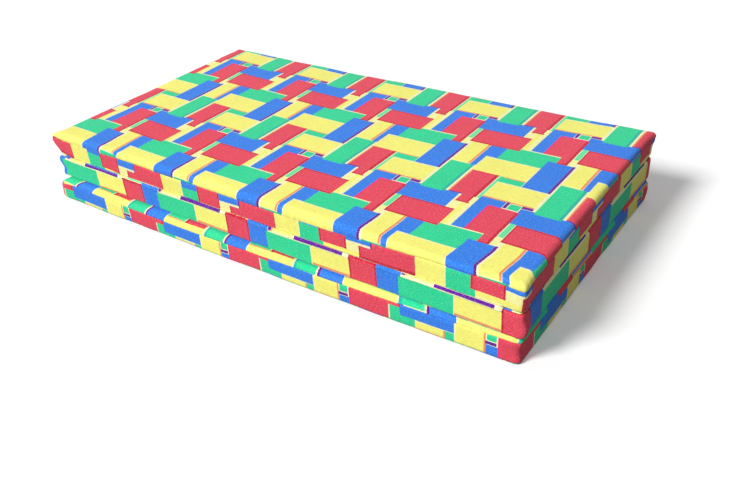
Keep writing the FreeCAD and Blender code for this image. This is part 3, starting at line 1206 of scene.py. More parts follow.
    def draw(self, points: np.ndarray) -> np.ndarray:
        """Draws the sides in, bows and presses down the front, and raises the crown.

        Args:
            points: Points of the straight-sided form.

        Returns:
            The same points on the drawn form.
        """
        half = (self.high - self.low) / 2
        middle = (self.high + self.low) / 2
        away = (points[:, :2] - middle[:2]) / half[:2]
        share_up = (points[:, 2] - self.low[2]) / (self.high[2] - self.low[2])
        x, y = away[:, 0], away[:, 1]
        drawn = points.copy()
        drawn[:, 1] -= np.clip(y, 0, None) * self.long_draw * (1 - np.clip(x**2, 0, 1))
        length = points[:, 0] - self.low[0]
        bowed = np.clip((-y - self.bow_start) / (1 - self.bow_start), 0, 1) ** 2
        drawn[:, 1] -= along(self.bow, length) * bowed
        drawn[:, 0] -= np.clip(x, 0, None) * self.short_draw * (1 - np.clip(y**2, 0, 1))
        edge = np.minimum(half[0] * (1 - np.abs(x)), half[1] * (1 - np.abs(y)))
        upper, lower = along(self.upper_press, length), along(self.lower_press, length)
        press = lower + (upper - lower) * np.clip(share_up, 0, 1)
        drawn[:, 2] -= press * np.clip((-y - self.press_start) / self.press_ramp, 0, 1)
        start = self.upper_radius.right
        climb = np.clip((edge - start) / (half[1] - self.crown_level - start), 0, 1)
        drawn[:, 2] += self.crown * (1 - (1 - climb) ** 2) * np.clip(share_up, 0, 1)
        return drawn

    def shape(self) -> None:
        """Gives the form its drawn sides, its pushed corners and its unevenness."""
        self.points = self.draw(self.points)
        self.dip_seam()
        free = 1 - self.zip_share()
        for nudge in self.nudges:
            self.points += nudge.shift(self.rest) * free[:, None]
        rim = np.clip(1 - self.rim_distance() / self.rim_reach, 0.0, 1.0)
        broad, medium, small = self.swells
        swell = smooth_noise(self.rest, broad, self.seed) * (0.9 + 1.2 * rim)
        swell += smooth_noise(self.rest, medium, self.seed + 1) * (0.25 + 0.75 * rim)
        swell += smooth_noise(self.rest, small, self.seed + 2) * 0.45 * rim
        self.points += self.outward() * (swell * free * MM)[:, None]

    def dip_seam(self) -> None:
        """Lets the upper seam run a little up and down along the front, as it was sewn."""
        lengths = self.outline_lengths()
        dip = along(self.seam_dip, lengths)
        front = self.high[0] - self.low[0]
        dip *= np.clip(1 - (lengths - front) / self.dip_reach, 0.0, 1.0)
        seam = self.upper_rows - 1
        for row in range(len(self.rows)):
            if row <= seam:
                share = row / seam
            else:
                share = max(0.0, 1 - (row - seam) / (self.wall_rows + 1))
            self.points[self.row_index(row), 2] += dip * share

    def tuck_seams(self) -> None:
        """Pulls both seams in a little, more at the corners, where the cloth gathers."""
        corner = self.corner_share()
        for row in self._seam_rows():
            index = self.row_index(row)
            step = self.points[np.roll(index, -1)] - self.points[np.roll(index, 1)]
            outward = np.column_stack([step[:, 1], -step[:, 0]])
            outward /= np.linalg.norm(outward, axis=1)[:, None]
            depth = self.seam_tuck * (1 + self.corner_tuck * corner)
            self.points[index, :2] -= outward * depth[:, None]

    def corner_share(self) -> np.ndarray:
        """1 at the corners of the outline, falling to 0 away from them, for one row.

        Returns:
            One share for each place round the outline.
        """
        row = self.rows[self.upper_rows + 1]
        away = np.minimum(row[:, :2] - self.low[:2], self.high[:2] - row[:, :2]).max(1)
        return np.clip(1 - away / self.gather_reach, 0.0, 1.0) ** 2

    def gather_corners(self) -> None:
        """Gathers the cloth beside both seams at the corners into small uneven pleats."""
        corner = self.corner_share()
        lengths = self.outline_lengths()
        normals = self.outward()
        free = 1 - self.zip_share()
        for seam in self._seam_rows():
            for row in range(max(seam - 4, 0), min(seam + 5, len(self.rows))):
                index = self.row_index(row)
                fade = 0.5 ** abs(row - seam)
                seed = self.seed + 3 + (row > seam)
                drift = smooth_noise(self.rest[index], self.gather_drift, seed)
                wave = np.sin(lengths * 2 * math.pi / self.gather_pitch + 4.0 * drift)
                height = self.gather_height * wave * corner * fade * free[index]
                self.points[index] += normals[index] * height[:, None]

    def confine(self) -> None:
        """Keeps the panel on its own side of what it rests on and of its fold lines."""
        top = math.inf if self.crown else self.high[2]
        self.points[:, 2] = np.clip(self.points[:, 2], self.low[2], top)
        self.points[:, 1] = np.clip(self.points[:, 1], self.front_limit, self.back_limit)

    def wall_at(self, side: float, x: np.ndarray, z: np.ndarray) -> np.ndarray:
        """How far along Y the wall stands at places on a long side.

        Args:
            side: -1 for the front, 1 for the back.
            x: The places along the side.
            z: Their heights.

        Returns:
            One Y for each place.
        """
        start = 0 if side < 0 else self.across + self.along
        rows = [self.points[self.row_index(row)] for row in range(len(self.rows))]
        rows = [row[start:start + self.across][::-int(side)] for row in rows]
        y_rows = np.stack([np.interp(x, row[:, 0], row[:, 1]) for row in rows[::-1]])
        z_rows = np.stack([np.interp(x, row[:, 0], row[:, 2]) for row in rows[::-1]])
        return np.array([np.interp(z[i], z_rows[:, i], y_rows[:, i]) for i in range(len(x))])

    def front_cloth(self, x: np.ndarray, z: np.ndarray) -> np.ndarray:
        """Cloth coordinates of the side band at places on the front.

        Args:
            x: The places along the front.
            z: Their heights.

        Returns:
            One pair for each place.
        """
        seam = self.points[self.row_index(self.upper_rows - 1)][:self.across]
        down = np.interp(x, seam[:, 0], seam[:, 2]) - z
        lengths = x - self.low[0] - self.corner * (1 - math.pi / 4)
        return self.band_place.map(lengths, down, (1.0, 1.0))

    # -- pieces ---------------------------------------------------------

    def outline_lengths(self) -> np.ndarray:
        """Length round the outline to each of its points, from the front left corner.

        Returns:
            One length for each point.
        """
        nominal, _ = self.outline(Sides(0, 0, 0, 0), self.corner)
        steps = np.linalg.norm(np.roll(nominal, -1, axis=0) - nominal, axis=1)
        return np.concatenate([[0], np.cumsum(steps)[:-1]])

    def patch(self, faces: list[tuple[int, ...]], cloth: np.ndarray, seam: np.ndarray) -> Patch:
        """Copies out the points that some faces use.

        Args:
            faces: Faces over the panel's points.
            cloth: Cloth coordinates of all the panel's points.
            seam: Length along the seam and distance from it, for all points.

        Returns:
            The patch, with its own numbering.
        """
        quads = np.array(faces)
        used = np.unique(quads)
        renumber = np.full(len(self.points), -1)
        renumber[used] = np.arange(len(used))
        own = [tuple(face) for face in renumber[quads].tolist()]
        return Patch(self.points[used], own, cloth[used], seam[used])

    def _sheet_maps(self, rows: Sequence[int], flats: Sequence[np.ndarray]) -> tuple[np.ndarray, ...]:
        """Flat places and seam coordinates of a face and its roll, measured on the shaped form.

        Args:
            rows: The roll's rows, from its face to its seam.
            flats: Flat places of the first and the last of them.

        Returns:
            Flat places from the panel's front left corner, and the seam coordinates.
        """
        flat = self.rest[:, :2] - self.low[:2]
        seam = np.full((len(self.points), 2), 1.0)
        lengths = self.outline_lengths()
        out = flats[1] - flats[0]
        out /= np.maximum(np.linalg.norm(out, axis=1), 1e-9)[:, None]
        run = np.zeros(self.loop)
        runs = [run]
        for above, below in zip(rows, rows[1:]):
            step = self.points[self.row_index(below)] - self.points[self.row_index(above)]
            run = run + np.linalg.norm(step, axis=1)
            runs.append(run)
        for row, run in zip(rows, runs):
            index = self.row_index(row)
            flat[index] = flats[0] + out * run[:, None] - self.low[:2]
            seam[index] = np.column_stack([lengths, runs[-1] - run])
        edge = self.row_index(-1 if rows[0] == 0 else len(self.rows))
        seam[edge] = np.column_stack([lengths, np.full(self.loop, self.sheet_seam_reach)])
        return flat, seam

    def face_patch(self) -> Patch:
        """The upper sheet: the level face and its rolled edge down to the seam.

        Returns:
            The sheet's patch.
        """
        faces = self._grid_faces(0, True) + self._wall_faces(-1, self.upper_rows - 1)
        rows = range(self.upper_rows)
        flat, seam = self._sheet_maps(rows, self.flats)
        return self.patch(faces, self.face_place.map(*flat.T, self.high - self.low), seam)

    def under_patch(self) -> Patch:
        """The lower sheet: the level face underneath and its rolled edge up to the seam.

        Returns:
            The sheet's patch.
        """
        last = len(self.rows)
        first = self.upper_rows + self.wall_rows
        faces = self._wall_faces(first, last)
        faces += self._grid_faces(self.grid_count + last * self.loop, False)
        rows = range(last - 1, first - 1, -1)
        flat, seam = self._sheet_maps(rows, self.under_flats)
        return self.patch(faces, self.under_place.map(*flat.T, self.high - self.low), seam)

    def wall_maps(self, first_negative: int) -> tuple[np.ndarray, np.ndarray]:
        """Cloth and seam coordinates of the side wall's rows.

        Args:
            first_negative: First place round the outline that counts as before its start.

        Returns:
            Cloth coordinates, and length along the seam and distance from it.
        """
        lengths = self.outline_lengths()
        size = self.high - self.low
        lengths[first_negative:] -= 2 * (size[0] + size[1]) - self.corner * (8 - 2 * math.pi)
        cloth = np.zeros((len(self.points), 2))
        seam = np.full((len(self.points), 2), 1.0)
        first = self.upper_rows - 1
        downs = [np.zeros(self.loop)]
        for row in range(first, self.upper_rows + self.wall_rows):
            step = self.points[self.row_index(row + 1)] - self.points[self.row_index(row)]
            downs.append(downs[-1] + np.linalg.norm(step, axis=1))
        for offset, down in enumerate(downs):
            index = self.row_index(first + offset)
            cloth[index] = self.band_place.map(lengths, down, (1.0, 1.0))
            seam[index] = np.column_stack([lengths, np.minimum(down, downs[-1] - down)])
        return cloth, seam

    def band_patch(self) -> Patch:
        """The side band: one strip along the front, the right end and the back.

        Returns:
            The band's patch.
        """
        mask = self.zip_mask()
        cloth, seam = self.wall_maps(int(np.flatnonzero(mask)[-1]) + 1)
        faces = self._wall_faces(self.upper_rows - 1, self.upper_rows + self.wall_rows, ~mask)
        return self.patch(faces, cloth, seam)

    def zip_band_patch(self) -> Patch:
        """The zip band: two narrow strips on the left end, above and below the zip.

        Returns:
            The band's patch.
        """
        cloth, seam = self.wall_maps(self.loop)
        heights = np.array([row[self.loop - self.along // 2, 2] for row in self.rows])
        half_tape = self.tape_width / 2
        upper_edge = int(np.argmin(np.abs(heights - self.zip_height - half_tape)))
        lower_edge = int(np.argmin(np.abs(heights - self.zip_height + half_tape)))
        mask = self.zip_mask()
        faces = self._wall_faces(self.upper_rows - 1, upper_edge, mask)
        faces += self._wall_faces(lower_edge, self.upper_rows + self.wall_rows, mask)
        return self.patch(faces, cloth, seam)


# ---------------------------------------------------------------- making pieces


def smooth_noise(points: np.ndarray, size: float, seed: int) -> np.ndarray:
    """Smooth noise from about -1 to 1.

    Args:
        points: Where it is read, in metres.
        size: How large its swells are, in metres.
        seed: Which noise it is.

    Returns:
        One value for each point.
    """
    shift = Vector((seed * 7.31, seed * 3.17, seed * 1.73))
    return np.array([noise.noise(Vector(p) / size + shift) for p in points.tolist()])


def add_map(mesh: bpy.types.Mesh, name: str, values: np.ndarray) -> None:
    """Gives a mesh a UV map from one pair of values for each vertex.

    Args:
        mesh: The mesh.
        name: The map's name.
        values: One pair for each vertex.
    """
    layer = mesh.uv_layers.new(name=name)
    corners = np.empty(len(mesh.loops), np.int32)
    mesh.loops.foreach_get("vertex_index", corners)
    layer.uv.foreach_set("vector", values[corners].astype(np.float32).ravel())


def new_object(name: str, points: np.ndarray, faces: Sequence[tuple[int, ...]]) -> bpy.types.Object:
    """Makes and links a smooth-shaded mesh object at the origin.

    Args:
        name: The piece's name.
        points: Its points, in metres.
        faces: Its faces, as indices of points.

    Returns:
        The linked piece.
    """
    mesh = bpy.data.meshes.new(name)
    mesh.from_pydata(points.tolist(), [], list(faces))
    mesh.shade_smooth()
    piece = bpy.data.objects.new(name, mesh)
    bpy.context.scene.collection.objects.link(piece)
    return piece


def apply_all(piece: bpy.types.Object) -> None:
    """Applies every modifier of a piece, in order.

    Args:
        piece: The piece.
    """
    bpy.ops.object.select_all(action="DESELECT")
    piece.select_set(True)
    bpy.context.view_layer.objects.active = piece
    for name in [modifier.name for modifier in piece.modifiers]:
        bpy.ops.object.modifier_apply(modifier=name)
    piece.select_set(False)


def thicken(piece: bpy.types.Object, fabric: float, smoothing: str | None = None) -> None:
    """Gives a sheet its thickness, inward from its outer face.

    Args:
        piece: The sheet, still without thickness.
        fabric: The thickness, in metres.
        smoothing: How the sheet's edges go through one subdivision, if it gets one.
    """
    if smoothing is not None:
        smooth = piece.modifiers.new("smooth", "SUBSURF")
        smooth.levels = smooth.render_levels = 1
        smooth.boundary_smooth = smoothing
    wall = piece.modifiers.new("wall", "SOLIDIFY")
    wall.thickness = fabric
    wall.offset = -1.0
    apply_all(piece)


def sew(name: str, patch: Patch, fabric: float) -> bpy.types.Object:
    """Turns a patch into cloth: one smooth subdivision, and the fabric's thickness inward.

    Args:
        name: The piece's name.
        patch: Its points, faces and maps.
        fabric: The fabric's thickness, in metres.

    Returns:
        The finished piece.
    """
    piece = new_object(name, patch.points, patch.faces)
    add_map(piece.data, "cloth", patch.cloth)
    add_map(piece.data, "seam", patch.seam)
    thicken(piece, fabric, "PRESERVE_CORNERS")
    return piece


def finish_with(piece: bpy.types.Object, material: bpy.types.Material) -> None:
    """Gives a piece its one material."""
    piece.data.materials.clear()
    piece.data.materials.append(material)


def dress(
    piece: bpy.types.Object, material: bpy.types.Material, panel: str, node: str
) -> None:
    """Finishes a piece that rides on one panel in place of one of its CAD nodes.

    Args:
        piece: The piece.
        material: Its material.
        panel: The panel's name.
        node: The node's name, without the panel's.
    """
    finish_with(piece, material)
    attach(piece, f"{panel}_panel")
    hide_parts(f"{panel}_{node}")
    log.info("%s: %d faces", piece.name, len(piece.data.polygons))


@dataclass
class FoldStrip:
    """A strip of cloth sewn across a fold, with one half on each of two panels' walls.

    The wall steps are heights above and below the fold, in millimetres. The crease is its height
    there and how far in it stands, also in millimetres.
    """

    name: str
    lower: Panel
    upper: Panel
    side: float
    place: ClothPlace | None = None
    drop: float = 0.0
    flat_width: float = 20 * MM
    fabric: float = 0.6 * MM
    stand: float = 0.2 * MM
    limit: float = 0.3179
    step: float = 8 * MM
    wall_steps: tuple[float, ...] = (7.0, 5.7, 4.4, 3.3, 2.4, 1.6, 0.9)
    crease: tuple[float, float] = (0.12, 0.9)
    row_width: float = 1.3 * MM
    bend_reach: float = 0.05 * MM
    plain_place: tuple[float, float] = (9 * MM, 60 * MM)

    def __post_init__(self) -> None:
        """Reads the strip's place from its CAD node."""
        low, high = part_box(self.name)
        self.height = (low.z + high.z) / 2 - self.drop
        self.x = np.linspace(low.x, high.x, round((high.x - low.x) / self.step) + 1)

    def half(self, panel: Panel, way: float) -> tuple[np.ndarray, np.ndarray]:
        """Rows of one half, from its sewn edge to the crease.

        Args:
            panel: The panel that the half is sewn to.
            way: -1 for the half below the fold, 1 for the half above.

        Returns:
            The rows' points, and their cloth coordinates.
        """
        rows, cloths = [], []
        for away, inward in [*((step, 0.0) for step in self.wall_steps), self.crease]:
            z = np.full(len(self.x), self.height + way * away * MM)
            if inward == 0.0:
                out = self.side * panel.wall_at(self.side, self.x, z) + self.stand + self.fabric
                out = np.minimum(out, self.limit)
            rows.append(np.column_stack([self.x, self.side * (out - inward * MM), z]))
            if self.place is None:
                cloths.append(panel.front_cloth(self.x, z))
            else:
                cloths.append(self.place.map(self.x - self.x[0], z - self.height, (1.0, 1.0)))
        return np.stack(rows), np.stack(cloths)

    def make(self, cotton: bpy.types.Material) -> None:
        """Makes the strip, with its crease along the fold.

        Args:
            cotton: The covers' material.
        """
        below, above = self.half(self.lower, -1.0), self.half(self.upper, 1.0)
        points, cloth = (np.concatenate([b, a[::-1]]) for b, a in zip(below, above))
        count, wide = points.shape[:2]
        index = np.arange(count * wide).reshape(count, wide)
        faces = grid_quads(index, self.side > 0)
        piece = new_object(f"{self.name}_cloth", points.reshape(-1, 3), faces)
        add_map(piece.data, "cloth", cloth.reshape(-1, 2))
        edge = np.minimum(np.arange(count), np.arange(count)[::-1]) * self.row_width
        lengths = np.tile(self.x - self.x[0], count)
        add_map(piece.data, "seam", np.column_stack([lengths, np.repeat(edge, wide)]))
        self._plain_crease(piece, count // 2 - 1, wide)
        thicken(piece, self.fabric)
        finish_with(piece, cotton)
        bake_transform(piece)
        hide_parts(self.name)
        log.info("%s: %d faces", piece.name, len(piece.data.polygons))

    def _plain_crease(self, piece: bpy.types.Object, row: int, wide: int) -> None:
        """Lets the one row of faces on the crease show the print's ground colour.

        Args:
            piece: The strip.
            row: The row's number.
            wide: How many points a row has.
        """
        layer = piece.data.uv_layers["cloth"]
        for face in range(row * (wide - 1), (row + 1) * (wide - 1)):
            for loop in piece.data.polygons[face].loop_indices:
                layer.uv[loop].vector = self.plain_place


@dataclass
class CoilZip:
    """The coil zip in the left end of one panel's cover.

    The tape rows are distances from the chain's middle, in millimetres.
    """

    name: str
    tape_inset: float = 1.1 * MM
    tape: float = 0.5 * MM
    hidden: float = 1.4 * MM
    pitch: float = 2.0 * MM
    tooth: tuple[float, float, float] = (1.7 * MM, 1.25 * MM, 3.4 * MM)
    tooth_round: float = 0.5 * MM
    tooth_lift: float = 0.1 * MM
    reach: float = 0.55 * MM
    tape_rows: tuple[float, ...] = (1.1, 2.4, 4.0, 6.0, 8.0)
    tape_columns: int = 73
    tape_wave: float = 0.12 * MM
    tape_dip: float = 0.1 * MM
    hidden_dip: float = 0.25 * MM

    def tapes(self, material: bpy.types.Material) -> None:
        """Makes the two woven tapes behind the cover's edges.

        Args:
            material: The tapes' material.
        """
        low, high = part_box(f"{self.name}_zip_tapes")
        middle = (low.z + high.z) / 2
        half = (high.z - low.z) / 2 + self.hidden
        across = np.append(np.array(self.tape_rows) * MM, half)
        y = np.linspace(low.y, high.y, self.tape_columns)
        points: list[tuple[float, float, float]] = []
        faces: list[tuple[int, ...]] = []
        for way in (-1.0, 1.0):
            base = len(points)
            for z in across:
                wave = self.tape_wave * np.sin(y * 55 + z * 700 * way)
                dip = self.tape_dip + (self.hidden_dip if z > 3 * MM else 0.0)
                points += [(low.x + self.tape_inset + dip + w, v, middle + way * z) for v, w in zip(y, wave)]
            index = base + np.arange(len(across) * len(y)).reshape(len(across), len(y))
            faces += grid_quads(index, way > 0)
        piece = new_object(f"{self.name}_zip_tape_pair", np.array(points), faces)
        thicken(piece, self.tape, "ALL")
        dress(piece, material, self.name, "zip_tapes")

    def chain(self, material: bpy.types.Material) -> None:
        """Makes the chain: two rows of interlocked coil turns.

        Args:
            material: The coil's material.
        """
        low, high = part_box(f"{self.name}_zip_chain")
        middle = (low.z + high.z) / 2
        thick, broad, long = self.tooth
        count = int((high.y - low.y - broad) / self.pitch)
        rows = []
        for way in (-1.0, 1.0):
            bpy.ops.object.select_all(action="DESELECT")
            start = low.y + broad / 2 + (self.pitch / 2 if way > 0 else 0.0)
            height = middle + way * (long / 2 - self.reach)
            place = (low.x + thick / 2 + self.tooth_lift, start, height)
            bpy.ops.mesh.primitive_cube_add(size=1.0, location=place, scale=(thick, broad, long))
            row = bpy.context.object
            bpy.ops.object.transform_apply(location=True, rotation=False, scale=True)
            rounded = row.modifiers.new("rounded", "BEVEL")
            rounded.width = self.tooth_round
            rounded.segments = 2
            repeated = row.modifiers.new("repeated", "ARRAY")
            repeated.count = count
            repeated.use_relative_offset = False
            repeated.use_constant_offset = True
            repeated.constant_offset_displace = (0.0, self.pitch, 0.0)
            apply_all(row)
            row.data.shade_smooth()
            rows.append(row)
        bpy.ops.object.select_all(action="DESELECT")
        for row in rows:
            row.select_set(True)
        bpy.context.view_layer.objects.active = rows[0]
        bpy.ops.object.join()
        piece = rows[0]
        piece.name = f"{self.name}_zip_coil"
        piece.select_set(False)
        dress(piece, material, self.name, "zip_chain")

    def metal(self, material: bpy.types.Material) -> None:
        """Plates the stops, the slider and the pull."""
        for part in ("zip_stops", "zip_slider", "zip_pull"):
            finish_with(bpy.data.objects[f"{self.name}_{part}"], material)


@dataclass
class Mattress:
    """The whole mattress: three covered panels, their fold strips and their zips."""

    crown: float = 6 * MM
    edge: float = 11 * MM
    lower_edge: float = 4 * MM
    fold_edge: float = 6 * MM
    fold_line: float = 318 * MM
    fold_gap: float = 1.2 * MM
    outer_side: float = 316.5 * MM
    free: float = 6 * MM
    bow_room: float = 14 * MM
    hem: float = 8 * MM
    foam_gap: float = 5.5 * MM
    foam_level_gap: float = 0.75
    foam_cuts: int = 16

    def panels(self) -> list[Panel]:
        """The three panels from the floor up, each with its own cut of the printed cloth.

        Returns:
            The bottom, middle and top panel.
        """
        e, w, f = self.edge, self.lower_edge, self.fold_edge
        fold = self.fold_line - self.fold_gap
        out = self.outer_side + self.free
        plain = {"across": (1.0, 0.0), "down": (0.0, -1.0)}
        return [
            Panel(
                name="bottom",
                crown=0.0,
                upper_press=((0, 3.5), (800, 3.5), (1000, 1), (1200, 0)),
                upper_radius=Sides(16 * MM, 13 * MM, f, 13 * MM),
                lower_radius=Sides(w, w, w, w),
                seam_dip=(
                    (0, 5), (150, 3), (400, -1), (600, 2), (780, 4), (900, 4), (1050, 5), (1200, 7),
                ),
                bow=(
                    (0, 16), (150, 17), (300, 17), (450, 16), (600, 14), (750, 12), (900, 9), (1050, 6),
                    (1200, 1),
                ),
                face_place=ClothPlace((1019, 101), across=(-1.0, 0.0), down=(0.0, 1.0), slips=(
                    (0, 9, -3), (150, 9, -1), (300, 9, 2), (430, 5, 3), (600, 4, 0), (780, 3, -3),
                    (950, 1, -4), (1050, 0, -5), (1200, -3, -7),
                )),
                band_place=ClothPlace((212, -623), across=(0.0, 1.0), down=(-1.0, 0.0), slips=(
                    (0, 7, -38), (135, 7, -39), (290, 3, -34), (430, 3, -27), (515, 4, -23),
                    (620, -2, -17), (700, 0, -13), (830, 3, -9), (950, -1, -7), (1035, -1, 0),
                    (1140, 0, 4), (1185, 0, 5),
                )),
                under_place=ClothPlace((40, 120), **plain),
                front_limit=-out - self.bow_room,
                back_limit=fold,
                seed=3,
                nudges=(
                    Nudge((-600, -316, 32), (60, 40, 30), (-13, -2, -3)),
                    Nudge((-600, -316, 4), (60, 40, 26), (-14, -2, 0)),
                    Nudge((600, -316, 20), (40, 40, 26), (-4, 3, 0)),
                    Nudge((600, 316, 34), (50, 50, 30), (4, 0, 0)),
                ),
            ),
            Panel(
                name="middle",
                crown=0.0,
                upper_press=((0, 3),),
                lower_press=((0, 3.3), (800, 3.3), (1000, 1), (1200, 0)),
                upper_radius=Sides(f, 8 * MM, 8 * MM, 8 * MM),
                lower_radius=Sides(w, w, f, w),
                upper_shift=2 * MM,
                lower_shift=3 * MM,
                face_place=ClothPlace((120, 250), **plain),
                band_place=ClothPlace((1.3, 1167), across=(0.0, -1.0), down=(1.0, 0.0), slips=(
                    (60, 0, 14), (135, 0, 8), (285, -1, 13), (360, 1, 13), (435, 2, 9),
                    (585, 2, 9), (660, 0, 8), (735, 1, 3), (960, 3, 0), (1035, 3, -5),
                    (1185, 2, -7),
                )),
                under_place=ClothPlace((200, 30), **plain),
                front_limit=-fold,
                back_limit=fold,
                seed=5,
                nudges=(
                    Nudge((-600, -316, 98), (40, 36, 24), (-16, 0, 0)),
                    Nudge((-600, -316, 62), (40, 34, 26), (-13, 0, 0)),
                    Nudge((-600, -300, 84), (30, 15, 11), (6, 0, 0)),
                    Nudge((600, -316, 76), (38, 36, 24), (7, 0, -2)),
                ),
            ),
            Panel(
                name="top",
                crown=self.crown,
                upper_radius=Sides(e, e, e, e),
                lower_radius=Sides(f, w, w, w),
                lower_press=((0, 3),),
                seam_dip=((0, 0), (200, 0), (400, -2), (650, -4), (800, -3), (920, 0), (1050, 4), (1200, 5)),
                face_place=ClothPlace((-147.7, 411), **plain, slip_reach=60 * MM, pull=Pull(
                    across=(18.2, -2.6, -0.3, -12.7, 3.0, -11.6, -0.1, 2.3, 6.9),
                    down=(-15.8, -3.7, 6.0, 23.9, -1.3, 15.6, 2.1, 1.8, -13.1),
                ), slips=(
                    (0, -8, 0), (140, -8, 0), (190, -5, 0), (400, 0, -1), (620, 2, -3), (850, 3, -3),
                    (1000, 8, -4), (1090, 8, -6), (1150, 8, -7),
                )),
                band_place=ClothPlace((76, 1420), across=(0.0, -1.0), down=(1.0, 0.0), slips=(
                    (0, 15, 25), (60, 13, 23), (135, 7, 18), (210, 4, 14), (285, 3, 12),
                    (360, -1, 8), (435, 0, 5), (510, 4, 4), (585, 7, 6), (660, 11, 6),
                    (735, 14, 5), (810, 13, 4), (885, 13, 5), (960, 12, 5), (1035, 14, 3),
                    (1110, 13, 2), (1185, 12, 4),
                )),
                under_place=ClothPlace((10, 300), **plain),
                front_limit=-fold,
                back_limit=out,
                seed=8,
                nudges=(
                    Nudge((-600, -316, 148), (46, 34, 30), (-22, 0, 0)),
                    Nudge((-600, -316, 118), (44, 34, 28), (-3, 1, 0)),
                    Nudge((-600, -299, 134), (32, 16, 12), (10, 0, 0)),
                    Nudge((600, -316, 150), (30, 34, 40), (2, 0, -3)),
                    Nudge((600, 316, 158), (40, 40, 26), (4, 3, 0)),
                    Nudge((-600, 316, 158), (36, 26, 26), (-4, 3, 0)),
                ),
            ),
        ]

    def cover(self, panel: Panel, cotton: bpy.types.Material) -> None:
        """Cuts a panel's cover into its four pieces and sews each.

        Args:
            panel: The panel.
            cotton: The covers' material.
        """
        size = panel.high - panel.low
        girth = 2 * (size[0] + size[1])
        zip_run = 2 * panel.zip_reach
        tall = panel.upper_seam - panel.lower_seam
        face = (size[0] + 2 * self.hem, size[1] + 2 * self.hem)
        pieces = (
            ("upper_sheet", panel.face_patch(), face),
            ("lower_sheet", panel.under_patch(), face),
            ("side_band", panel.band_patch(), (tall, girth - zip_run)),
            ("zip_band", panel.zip_band_patch(), (tall - panel.tape_width, zip_run)),
        )
        for part, patch, flat in pieces:
            piece = sew(f"{panel.name}_{part}_cloth", patch, panel.fabric)
            dress(piece, cotton, panel.name, part)

    def foam(self, panel: Panel, material: bpy.types.Material) -> None:
        """Makes the foam block inside a panel's cover, drawn in as the cover is.

        Args:
            panel: The panel.
            material: The foam's material.
        """
        low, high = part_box(f"{panel.name}_foam_core")
        gap, level_gap = self.foam_gap, self.foam_gap * self.foam_level_gap
        low = low + Vector((gap, gap, level_gap))
        high = high - Vector((gap, gap, level_gap + panel.crown))
        bpy.ops.object.select_all(action="DESELECT")
        bpy.ops.mesh.primitive_cube_add(size=1.0, location=(low + high) / 2, scale=high - low)
        block = bpy.context.object
        block.name = f"{panel.name}_foam_block"
        bpy.ops.object.transform_apply(location=True, rotation=False, scale=True)
        bpy.ops.object.mode_set(mode="EDIT")
        bpy.ops.mesh.select_all(action="SELECT")
        bpy.ops.mesh.subdivide(number_cuts=self.foam_cuts)
        bpy.ops.object.mode_set(mode="OBJECT")
        edges = block.modifiers.new("edges", "BEVEL")
        edges.limit_method = "ANGLE"
        edges.angle_limit = math.radians(60)
        edges.width = 0.6 * panel.upper_radius.front
        edges.segments = 3
        apply_all(block)
        flat = np.empty(len(block.data.vertices) * 3)
        block.data.vertices.foreach_get("co", flat)
        drawn = panel.draw(flat.reshape(-1, 3))
        block.data.vertices.foreach_set("co", drawn.ravel())
        block.data.shade_smooth()
        dress(block, material, panel.name, "foam_core")


# ---------------------------------------------------------------- studio


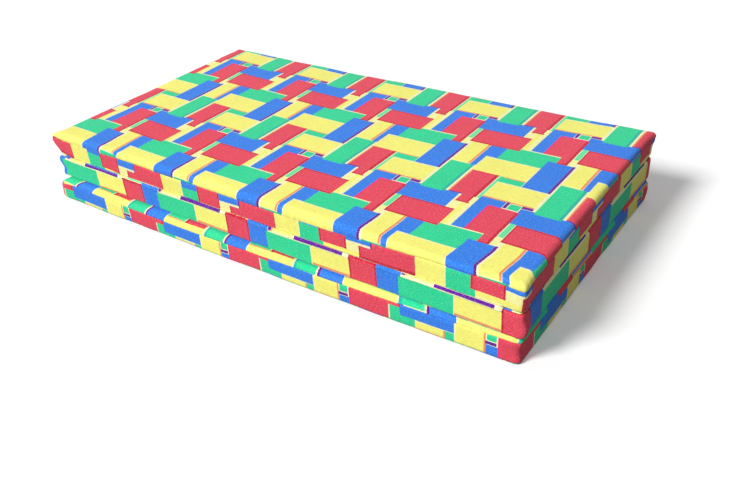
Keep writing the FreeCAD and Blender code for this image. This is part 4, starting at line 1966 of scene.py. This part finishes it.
@dataclass(frozen=True)
class Studio:
    """Camera, floor and soft lights."""

    place: tuple[float, float, float] = (0.9875, -1.2155, 0.8952)
    sight: tuple[float, float, float] = (-0.4984, 0.6643, -0.5571)
    right: tuple[float, float, float] = (0.8216, 0.5669, -0.0590)
    lens: float = 36.8
    sensor: float = 36.0
    sky: float = 0.27
    sun: float = 3.3
    sun_angle: float = 18.0
    sun_heading: tuple[float, float, float] = (0.44, 0.88, -0.84)
    floor_size: float = 16.0
    floor_drop: float = 0.5 * MM

    def camera(self) -> None:
        """Sets up a camera that looks along its sight, turned so that its right side points right."""
        data = bpy.data.cameras.new("camera")
        data.lens = self.lens
        data.sensor_width = self.sensor
        camera = bpy.data.objects.new("camera", data)
        bpy.context.scene.collection.objects.link(camera)
        back = -Vector(self.sight).normalized()
        right = Vector(self.right)
        right = (right - back * right.dot(back)).normalized()
        up = back.cross(right)
        turn = Matrix((right, up, back)).transposed()
        camera.matrix_world = Matrix.Translation(Vector(self.place)) @ turn.to_4x4()
        bpy.context.scene.camera = camera

    def floor(self) -> None:
        """Lays the floor under the mattress."""
        bpy.ops.object.select_all(action="DESELECT")
        bpy.ops.mesh.primitive_plane_add(size=self.floor_size, location=(0.0, 0.0, -self.floor_drop))
        floor = bpy.context.object
        floor.name = "studio_floor"
        bpy.ops.object.transform_apply(location=True, rotation=False, scale=True)
        finish_with(floor, StudioFloor().make())

    def lamps(self) -> None:
        """Hangs one broad lamp."""
        data = bpy.data.lights.new("window_light", "SUN")
        data.energy = self.sun
        data.angle = math.radians(self.sun_angle)
        lamp = bpy.data.objects.new("window_light", data)
        lamp.rotation_mode = "QUATERNION"
        lamp.rotation_quaternion = Vector(self.sun_heading).to_track_quat("-Z", "Y")
        bpy.context.scene.collection.objects.link(lamp)

    def sky_light(self) -> None:
        """Fills the world with plain light, and shows white behind the mattress."""
        world = bpy.data.worlds.new("studio")
        world.use_nodes = True
        bpy.context.scene.world = world
        wires = Wiring(world.node_tree)
        shader = world.node_tree.nodes["Background"]
        path = wires.add("LightPath")
        seen = wires.math("MAXIMUM", path.outputs["Is Camera Ray"], path.outputs["Is Glossy Ray"])
        strength = wires.math("MULTIPLY_ADD", seen, 1.0 - self.sky, self.sky)
        wires.feed(shader.inputs["Strength"], strength)
        shader.inputs["Color"].default_value = (1.0, 1.0, 1.0, 1.0)

    def open(self) -> None:
        """Sets everything up."""
        bpy.context.scene.view_settings.view_transform = "Standard"
        self.camera()
        self.floor()
        self.lamps()
        self.sky_light()


def main() -> None:
    """Builds the mattress and its studio."""
    logging.basicConfig(level=logging.INFO, format="%(name)s: %(message)s")
    Studio().open()
    shared = SharedEffects()
    cotton = PrintedCotton().make(shared)
    foam = OpenFoam().make()
    tape = WovenTape().make(shared)
    nylon = MouldedNylon().make()
    metal = PlatedMetal().make()
    mattress = Mattress()
    panels = mattress.panels()
    for panel in panels:
        panel.shape()
        panel.tuck_seams()
        panel.gather_corners()
        panel.confine()
        mattress.foam(panel, foam)
        mattress.cover(panel, cotton)
        coil = CoilZip(panel.name)
        coil.tapes(tape)
        coil.chain(nylon)
        coil.metal(metal)
    bottom, middle, top = panels
    FoldStrip("front_fold_strip", middle, top, -1.0, drop=3 * MM, flat_width=23 * MM).make(cotton)
    FoldStrip("back_fold_strip", bottom, middle, 1.0, ClothPlace((30, 60))).make(cotton)


if __name__ == "__main__":
    main()
